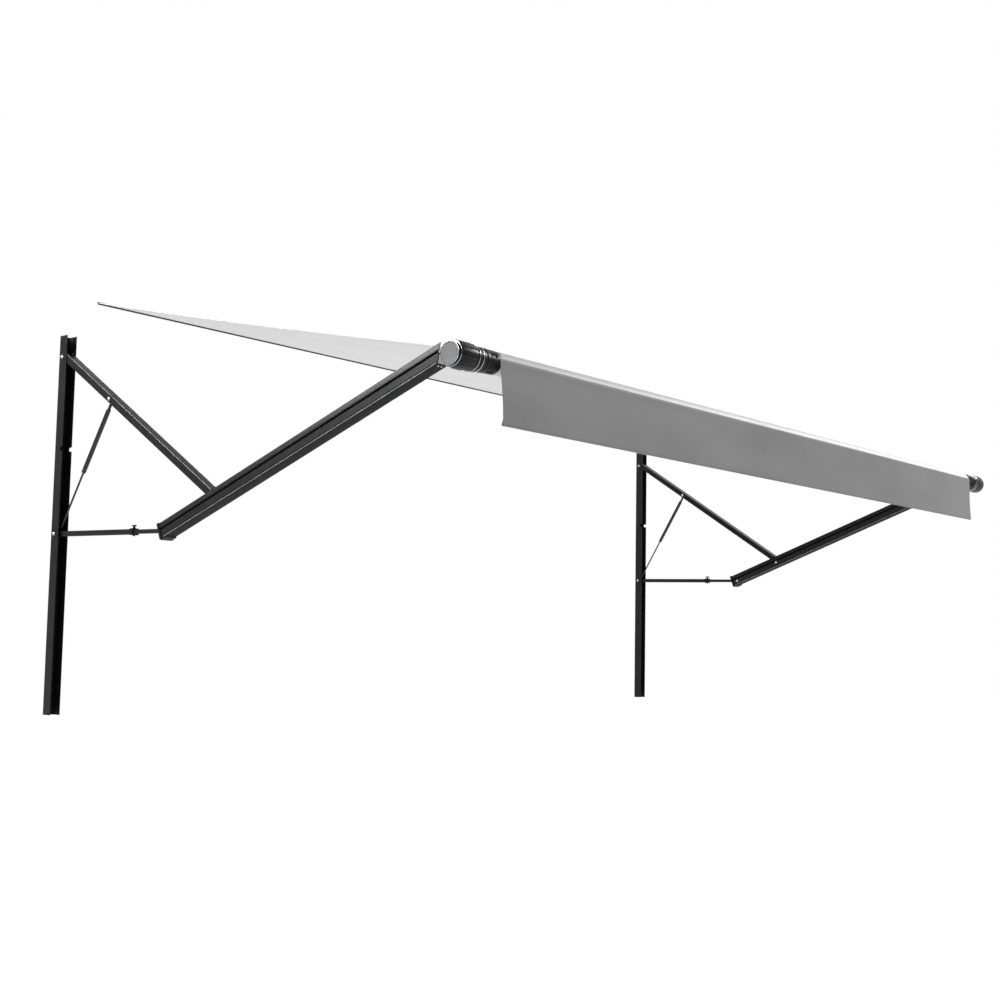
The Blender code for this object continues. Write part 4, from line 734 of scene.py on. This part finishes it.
def main_arm_section():
    lip = 0.0012
    half, wall = ARM_HALF, ARM_WALL
    back = half - SLOT_DEEP
    face = [
        (half - 0.0030, ARM_FLOOR), (half - 0.0014, ARM_FLOOR + 0.0004),
        (half - 0.0004, ARM_FLOOR + 0.0012), (half, ARM_FLOOR + 0.0024),
        (half - 0.0003, ARM_FLOOR + 0.0036), (half - 0.0012, ARM_FLOOR + 0.0048),
        (half - 0.0022, ARM_FLOOR + 0.0056), (half - 0.0022, ARM_FLOOR + 0.0070),
        (half - 0.0006, ARM_FLOOR + 0.0076), (half, SLOT_LOW - 0.0005), (half - 0.0004, SLOT_LOW),
        (half - lip, SLOT_LOW), (half - lip, SLOT_LOW - 0.0016), (back, SLOT_LOW - 0.0016),
        (back, SLOT_TOP + 0.0016), (half - lip, SLOT_TOP + 0.0016), (half - lip, SLOT_TOP),
        (half - 0.0004, SLOT_TOP), (half, SLOT_TOP + 0.0005), (half, ARM_TOP - 0.0009),
        (half - 0.0003, ARM_TOP - 0.0003), (half - 0.0009, ARM_TOP), (half - wall + 0.0004, ARM_TOP),
        (half - wall, ARM_TOP - 0.0004), (half - wall, ARM_FLOOR + 0.0037),
        (half - wall - 0.0012, ARM_FLOOR + 0.0025),
    ]
    return face + [(-a, b) for a, b in reversed(face)]


def extruded_arm(name, side):
    """One extrusion whose upper end is cut aslant. It has no holes; the bolts sit where they would be."""
    outline = main_arm_section()
    place = arm_place(name, side)
    height = ARM_TOP - ARM_FLOOR
    bm = bmesh.new()
    rows = []
    for station in range(30):
        share = station / 29
        row = []
        for across, up in outline:
            tip = ARM_TIP - ARM_TIP_CUT * (ARM_TOP - up) / height
            row.append(bm.verts.new(place @ Vector((ARM_TAIL + (tip - ARM_TAIL) * share, across, up))))
        rows.append(row)
    count = len(outline)
    for here, there in zip(rows, rows[1:]):
        for step in range(count):
            after = (step + 1) % count
            bm.faces.new((here[step], here[after], there[after], there[step]))
    for row in (rows[0], rows[-1]):
        bm.faces.new(row)
    return finish_piece(f"{name}_extruded_arm", bm, "main", f"{name}_main_arm", [f"{name}_main_arm"])


def painted_slot_shadows(name, side):
    """A near-black strip on the floor of each slot: painted shade that keeps the slot as dark as the shadow
    in a deeper one looks.
    """
    low, high = SLOT_LOW - 0.0012, SLOT_TOP + 0.0012
    start = ARM_TAIL + 0.001
    outline = [(start, low), (SLOT_STOP, low), (SLOT_STOP, high), (start, high)]
    across = ARM_HALF - SLOT_DEEP + SHADOW_STRIP_THICKNESS / 2
    strips = []
    for shift in (-across, across):
        place = arm_place(name, side) @ Matrix.Translation((0.0, shift, 0.0))
        strips.append(prism(outline, SHADOW_STRIP_THICKNESS / 2, place))
    finish_piece(f"{name}_painted_slot_shadows", merged(*strips), "slot_shade", f"{name}_main_arm")


def end_screws(name, side):
    """Two pan-head screws that hold the head bracket, under the end of each main arm."""
    ahead = Vector((0.0, -math.cos(MAIN_TILT), math.sin(MAIN_TILT)))
    rise = Vector((0.0, math.sin(MAIN_TILT), math.cos(MAIN_TILT)))
    foot = mirrored(FOOT_PIVOT, side)
    shapes = []
    for along, across in ((1.402, -0.008), (1.402, 0.008)):
        point = foot + ahead * along - rise * 0.0195 + Vector((across, 0.0, 0.0))
        profile = rounded_profile([
            (-0.0002, 0.0), (-0.0002, 0.0032), (0.0014, 0.0030), (0.0022, 0.0018), (0.0022, 0.0),
        ], 0.0006, 3)
        shapes.append(lathe(profile, basis(point, -rise, (1.0, 0.0, 0.0)), 24))
    finish_piece(f"{name}_bracket_screws", merged(*shapes), "zinc", f"{name}_main_arm")


# The head bracket's outline, in the arm's frame
BRACKET_HALF = 0.0242
BRACKET_SEAT = 0.0453
BRACKET_BAND = 0.006
BRACKET_PLUG_TOP = 0.018
BRACKET_PLUG_LENGTH = 0.070


def arc(centre_point, radius, start, stop, steps):
    angles = [math.radians(start + (stop - start) * step / steps) for step in range(steps + 1)]
    return [(centre_point[0] + radius * math.cos(a), centre_point[1] + radius * math.sin(a)) for a in angles]


def prism(outline, half, place):
    bm = bmesh.new()
    loops = [[bm.verts.new(place @ Vector((a, across, b))) for a, b in outline] for across in (-half, half)]
    count = len(outline)
    for step in range(count):
        after = (step + 1) % count
        bm.faces.new((loops[0][step], loops[0][after], loops[1][after], loops[1][step]))
    for loop in loops:
        bm.faces.new(loop)
    return bm


def head_bracket(name, side):
    """Painted casting: a plug inside the arm's end and a saddle behind the drum, its edges eased."""
    place = arm_place(name, side)
    middle = (ROLLER_ALONG, -ROLLER_DROP)
    outer = BRACKET_SEAT + BRACKET_BAND
    back = ARM_TIP - ARM_TIP_CUT + 0.002
    floor = ARM_FLOOR + 0.0028
    saddle = arc(middle, BRACKET_SEAT, 128, 212, 20) + arc(middle, outer, 212, 190, 6)
    saddle += [(back, floor - 0.004), (back, BRACKET_PLUG_TOP)]
    saddle += arc(middle, outer, 136, 128, 3)
    start = ARM_TIP - BRACKET_PLUG_LENGTH
    plug = [(start, floor), (back + 0.004, floor)]
    plug += [(back + 0.004, BRACKET_PLUG_TOP), (start, BRACKET_PLUG_TOP)]
    bm = merged(prism(saddle, BRACKET_HALF, place), prism(plug, BRACKET_HALF - 0.0005, place))
    made = finish_piece(f"{name}_bracket_casting", bm, "bracket_metal", f"{name}_main_arm",
                        [f"{name}_head_bracket"])
    ease = made.modifiers.new("eased_edges", "BEVEL")
    ease.width = 0.0012
    ease.segments = 2
    ease.limit_method = "ANGLE"
    ease.angle_limit = math.radians(40)
    return made


HIGHLIGHT_LINE_RADIUS = 0.0009
UPPER_HALF = 0.0198
UPPER_TOP = 0.022


def painted_highlight_lines(name, side):
    """Painted highlight lines: thin pale rods along each long corner, on the upper corners of the upper arm
    and the lower corners of the main arm. They stand in for the light that these corners catch.
    """
    ahead = Vector((0.0, -math.cos(UPPER_TILT), math.sin(UPPER_TILT)))
    place = basis(mirrored(UPPER_PIVOT, side), ahead)
    reach = (ELBOW - UPPER_PIVOT).length
    runs = (
        ("upper", f"{name}_upper_arm", place, -0.008, reach - 0.004, UPPER_HALF, UPPER_TOP - 0.0005),
        ("main", f"{name}_main_arm", arm_place(name, side), -0.020, ARM_TIP - ARM_TIP_CUT - 0.004, ARM_HALF,
         ARM_FLOOR + 0.0020),
    )
    for label, body, where, start, stop, half, up in runs:
        shapes = []
        for across in (-half + 0.0006, half - 0.0006):
            a = where @ Vector((start, across, up))
            b = where @ Vector((stop, across, up))
            shapes.append(shank(a, b, HIGHLIGHT_LINE_RADIUS))
        finish_piece(f"{name}_{label}_edge_lines", merged(*shapes), "edge", body)


def sheet_points(path, half, thickness, offset, columns, name, finish, body, replaced=(), widen=None):
    """A closed cloth sheet along a path of (y, z) points. offset and thickness depend on both shares."""
    count = len(path)
    bm = bmesh.new()
    layers = []
    for layer in (0.0, 1.0):
        rows = []
        for index, point in enumerate(path):
            before = Vector(path[max(index - 1, 0)])
            after = Vector(path[min(index + 1, count - 1)])
            ahead = (after - before).normalized()
            normal = Vector((ahead.y, -ahead.x))
            v = index / (count - 1)
            row = []
            for column in range(columns + 1):
                u = column / columns
                x = (half + (widen(v) if widen else 0.0)) * (2.0 * u - 1.0)
                shift = offset(u, v) + (layer - 0.5) * thickness(u, v)
                row.append(bm.verts.new((x, point[0] + normal.x * shift, point[1] + normal.y * shift)))
            rows.append(row)
        layers.append(rows)
    for rows in layers:
        for a, b in zip(rows, rows[1:]):
            for column in range(columns):
                bm.faces.new((a[column], a[column + 1], b[column + 1], b[column]))
    low, high = layers
    for column in (0, columns):
        for index in range(count - 1):
            after = index + 1
            bm.faces.new((low[index][column], low[after][column], high[after][column], high[index][column]))
    for index in (0, count - 1):
        for column in range(columns):
            after = column + 1
            bm.faces.new((low[index][column], low[index][after], high[index][after], high[index][column]))
    return finish_piece(name, bm, finish, body, replaced)


CLOTH_THICKNESS = 0.0008
HEM_THICKNESS = 0.0018
HEM_WIDTH = 0.020
CANOPY_SAG = 0.012
CANOPY_COLUMNS = 120
CANOPY_ROWS = 60


def canopy_path():
    """From the keder cord at the wall to the roller's top, with the slack of a tensioned cloth."""
    wrap = TUBE_RADIUS + 0.0007
    span = Vector((ROLLER.y - RAIL.y, ROLLER.z - RAIL.z))
    slope = math.atan2(span.y, -span.x) + math.asin(wrap / span.length)
    ahead = Vector((-math.cos(slope), math.sin(slope)))
    normal = Vector((math.sin(slope), math.cos(slope)))
    start = Vector((RAIL.y, RAIL.z)) + ahead * 0.0043
    stop = Vector((ROLLER.y, ROLLER.z)) + normal * wrap - ahead * 0.004
    path = []
    for row in range(CANOPY_ROWS + 1):
        share = row / CANOPY_ROWS
        point = start.lerp(stop, share)
        path.append((point.x, point.y - CANOPY_SAG * 4 * share * (1 - share)))
    return path, slope, (stop - start).length


def build_canopy():
    """One tensioned sheet: it sags a little between the cord and the roller, more so in the middle."""
    path, slope, length = canopy_path()
    side_share = HEM_WIDTH / (2 * CLOTH_HALF)

    def offset(u, v):
        belly = math.sin(math.pi * v)
        middle = math.cos(math.pi * (u - 0.5))
        wave = 0.0012 * math.sin(14.0 * u + 3.0 * v) * belly
        return 0.0035 * belly * middle + wave

    def thickness(u, v):
        at_side = min(u, 1 - u) < side_share
        return HEM_THICKNESS if at_side else CLOTH_THICKNESS

    canopy = sheet_points(path, CLOTH_HALF, thickness, offset, CANOPY_COLUMNS, "canopy_cloth", "canopy",
                          "canopy", ["canopy"])
    return canopy, slope, length


VALANCE_ROWS = 26
WRAP_STEPS = 20
HEM_ROD = 0.003


# Where the flap leaves the roller's front, how far its hem swings out, and how much wider it is at the top
FOLD_LINE = math.radians(14)
HEM_SWING = 0.009
TOP_FLARE = 0.009


def valance_path():
    """From its fold line on the front of the roller, down with a slight swing, and up behind the hem rod."""
    wrap = TUBE_RADIUS + 0.0024
    path = []
    for step in range(WRAP_STEPS + 1):
        angle = FOLD_LINE * (1 - step / WRAP_STEPS)
        path.append((ROLLER.y - wrap * math.cos(angle), ROLLER.z + wrap * math.sin(angle)))
    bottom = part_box("valance")[0].z
    rod_z = bottom + 2 * HEM_ROD
    front = ROLLER.y - wrap
    for row in range(1, VALANCE_ROWS + 1):
        share = row / VALANCE_ROWS
        path.append((front - HEM_SWING * share ** 1.5, ROLLER.z + (rod_z - ROLLER.z) * share))
    front -= HEM_SWING
    rod_y = front + CLOTH_THICKNESS / 2 + 0.0002 + HEM_ROD
    turn = rod_y - front
    for step in range(1, 9):
        angle = math.pi * step / 8
        path.append((rod_y - turn * math.cos(angle), rod_z - turn * math.sin(angle)))
    for rise in (0.005, 0.010, 0.015, 0.020):
        lean = (2 * turn - CLOTH_THICKNESS * 1.2 - HEM_SWING * 0.16) * min(rise / 0.015, 1.0)
        path.append((rod_y + turn - lean, rod_z + rise))
    return path


def roller_wrap():
    """The last turn of the canopy cloth on the roller, whose lap shows as a low step."""
    half = CLOTH_HALF
    inner = TUBE_RADIUS + 0.0003
    steps = 72
    path = []
    for step in range(steps + 1):
        share = step / steps
        angle = math.radians(60) + math.tau * share
        radius = inner + CLOTH_THICKNESS * (0.5 + 0.6 * max(0.0, 1.0 - share * 6))
        path.append((ROLLER.y - radius * math.cos(angle), ROLLER.z + radius * math.sin(angle)))
    return sheet_points(path, half, lambda u, v: CLOTH_THICKNESS * 0.7, lambda u, v: 0.0, 24, "roller_cloth",
                        "canopy", "roller")


def build_valance():
    """The hanging flap: long shallow waves that grow towards its hem, which is folded round a rod."""
    path = valance_path()
    count = len(path)
    hang_start = WRAP_STEPS / (count - 1)
    hang_stop = (WRAP_STEPS + VALANCE_ROWS) / (count - 1)

    def offset(u, v):
        drop = min(max((v - hang_start) / (hang_stop - hang_start), 0.0), 1.0)
        waves = math.sin(9.0 * u + 0.4) * 0.6 + math.sin(23.0 * u + 1.7) * 0.4
        return 0.0030 * math.sin(math.pi * drop) ** 2 * waves if v <= hang_stop else 0.0

    def thickness(u, v):
        return CLOTH_THICKNESS * (2.2 if v < 0.06 else 1.0)

    def widen(v):
        drop = min(max((v - hang_start) / (hang_stop - hang_start), 0.0), 1.0)
        return TOP_FLARE * max(0.0, 1.0 - drop / 0.7)

    made = sheet_points(path, CLOTH_HALF, thickness, offset, 96, "valance_cloth", "valance", "valance",
                        ["valance"], widen)
    return made, sum(math.dist(a, b) for a, b in zip(path, path[1:]))


# The sealing lip under the wall cord, read from the dark band that the photograph shows there
LIP_DROP = 0.0070
LIP_THICKNESS = 0.0022


def keder(name):
    """The cord in the wall rail: round, with the flat tail of its cover welded to the cloth."""
    low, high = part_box("wall_bead")
    radius = (high.z - low.z) / 2
    place = basis((low.x, RAIL.y, RAIL.z), (1.0, 0.0, 0.0))
    width = high.x - low.x
    profile = rounded_profile([(0.0, 0.0), (0.0, radius), (width, radius), (width, 0.0)], 0.001, 3)
    cord_mesh = lathe(profile, place, 28)
    lip = [(-LIP_THICKNESS / 2, -LIP_DROP), (LIP_THICKNESS / 2, -LIP_DROP + 0.0004), (LIP_THICKNESS / 2, 0.0),
           (-LIP_THICKNESS / 2, 0.0)]
    middle = Matrix.Translation((0.0, RAIL.y, RAIL.z)) @ Matrix.Rotation(-math.pi / 2, 4, "Z")
    tail = prism(lip, width / 2 - 0.001, middle)
    return finish_piece(name, merged(cord_mesh, tail), "cord", "canopy", ["wall_bead"])


def hem_rod():
    low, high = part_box("valance_hem_rod")
    path = valance_path()
    lowest = min(range(len(path)), key=lambda index: path[index][1])
    middle = Vector((0.0, path[lowest][0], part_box("valance")[0].z + 2 * HEM_ROD))
    width = high.x - low.x
    radius = HEM_ROD
    place = basis((low.x, middle.y, middle.z), (1.0, 0.0, 0.0))
    profile = rounded_profile([(0.0, 0.0), (0.0, radius), (width, radius), (width, 0.0)], 0.001, 3)
    return finish_piece("hem_stiffener", lathe(profile, place, 20), "cord", "valance", ["valance_hem_rod"])


def build_frame_parts():
    for name, side in SIDES.items():
        coat(f"{name}_wall_channel", "channel", 0.0005)
        coat(f"{name}_top_bracket", "channel", 0.0004)
        coat(f"{name}_upper_arm", "upper", 0.0012)
        extruded_arm(name, side)
        painted_slot_shadows(name, side)
        coat(f"{name}_pitch_sleeve", "bar", 0.0004)
        coat(f"{name}_pitch_bar", "bar", 0.0004)
        coat(f"{name}_pitch_collar", "knob_plastic", 0.0004)
        coat(f"{name}_foot_cap", "knob_plastic", 0.0008)
        head_bracket(name, side)
        painted_highlight_lines(name, side)
        coat(f"{name}_lock_pin", "zinc", 0.0)
        pivot_bolts(name, side)
        gas_strut(name, side)
        roller_head(name, side)
        lock_knob(name, side)
        end_screws(name, side)
    coat("roller_tube", "tube", 0.0)
    coat("motor", "enamel", 0.0)
    coat("drive_crown", "black_plastic", 0.0)


def set_camera():
    ahead = Vector((
        math.sin(CAMERA_AZIMUTH) * math.cos(CAMERA_TILT),
        math.cos(CAMERA_AZIMUTH) * math.cos(CAMERA_TILT),
        math.sin(CAMERA_TILT),
    ))
    level = Vector((math.cos(CAMERA_AZIMUTH), -math.sin(CAMERA_AZIMUTH), 0.0))
    over = level.cross(ahead)
    right = math.cos(CAMERA_ROLL) * level + math.sin(CAMERA_ROLL) * over
    up = -math.sin(CAMERA_ROLL) * level + math.cos(CAMERA_ROLL) * over
    data = bpy.data.cameras.new("photo_camera")
    data.lens = CAMERA_LENS
    data.sensor_width = 36.0
    data.clip_end = 200.0
    camera = bpy.data.objects.new("photo_camera", data)
    bpy.context.scene.collection.objects.link(camera)
    turn = Matrix((right, up, -ahead)).transposed().to_4x4()
    camera.matrix_world = Matrix.Translation(Vector(CAMERA_PLACE)) @ turn
    bpy.context.scene.camera = camera


def softbox(name, place, target, size, power):
    data = bpy.data.lights.new(name, "AREA")
    data.shape = "RECTANGLE"
    data.size, data.size_y = size
    data.energy = power
    light = bpy.data.objects.new(name, data)
    bpy.context.scene.collection.objects.link(light)
    light.location = place
    light.rotation_euler = (Vector(target) - Vector(place)).to_track_quat("-Z", "Y").to_euler()


FLOOR_HEIGHT = -1.0
FLOOR_HALF = 60.0
ROOM_BRIGHT = 1.0
ROOM_DIM = 0.16


def studio_room():
    """White walls beyond the awning, and a dimmer room on the side that it is looked at from."""
    world = bpy.data.worlds.new("studio_room")
    world.use_nodes = True
    tree = world.node_tree
    where = add(tree, "TexCoord").outputs["Generated"]
    towards = (math.sin(CAMERA_AZIMUTH), math.cos(CAMERA_AZIMUTH), 0.35)
    facing = add(tree, "VectorMath", {0: where, 1: towards}, operation="DOT_PRODUCT").outputs["Value"]
    level = add(tree, "MapRange", {
        "Value": facing, "From Min": 0.10, "From Max": 0.78, "To Min": ROOM_DIM, "To Max": ROOM_BRIGHT,
    }).outputs["Result"]
    tree.links.new(level, tree.nodes["Background"].inputs["Strength"])
    tree.nodes["Background"].inputs["Color"].default_value = (1.0, 1.0, 1.0, 1.0)
    bpy.context.scene.world = world


def set_studio():
    """Pale lit floor, the room round it, and large softboxes."""
    bm = bmesh.new()
    half = FLOOR_HALF
    corners = [(-half, -half), (half, -half), (half, half), (-half, half)]
    bm.faces.new([bm.verts.new((x, y, FLOOR_HEIGHT)) for x, y in corners])
    mesh = bpy.data.meshes.new("studio_floor")
    bm.to_mesh(mesh)
    bm.free()
    mesh.materials.append(floor_paint("studio_floor_paint"))
    floor = bpy.data.objects.new("studio_floor", mesh)
    bpy.context.scene.collection.objects.link(floor)
    studio_room()
    softbox("key_softbox", (-7.0, -6.0, 6.5), (0.0, -1.0, 1.0), (4.0, 3.0), 60.0)
    softbox("edge_softbox", (-5.2, 3.0, 6.0), (-1.9, -1.2, 1.2), (3.6, 1.4), 160.0)
    softbox("arm_softbox", (-5.3, 0.5, 3.2), (-2.1, -2.1, 1.6), (1.8, 1.5), 300.0)
    softbox("roof_softbox", (5.4, -4.4, 5.0), (1.7, -2.1, 1.5), (2.4, 1.8), 560.0)
    bpy.context.scene.view_settings.view_transform = "Standard"


build_frame_parts()
canopy, canopy_slope, canopy_length = build_canopy()
cord = keder("keder_cord")
valance, valance_length = build_valance()
stiffener = hem_rod()
wrap = roller_wrap()

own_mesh(canopy)

set_camera()
set_studio()
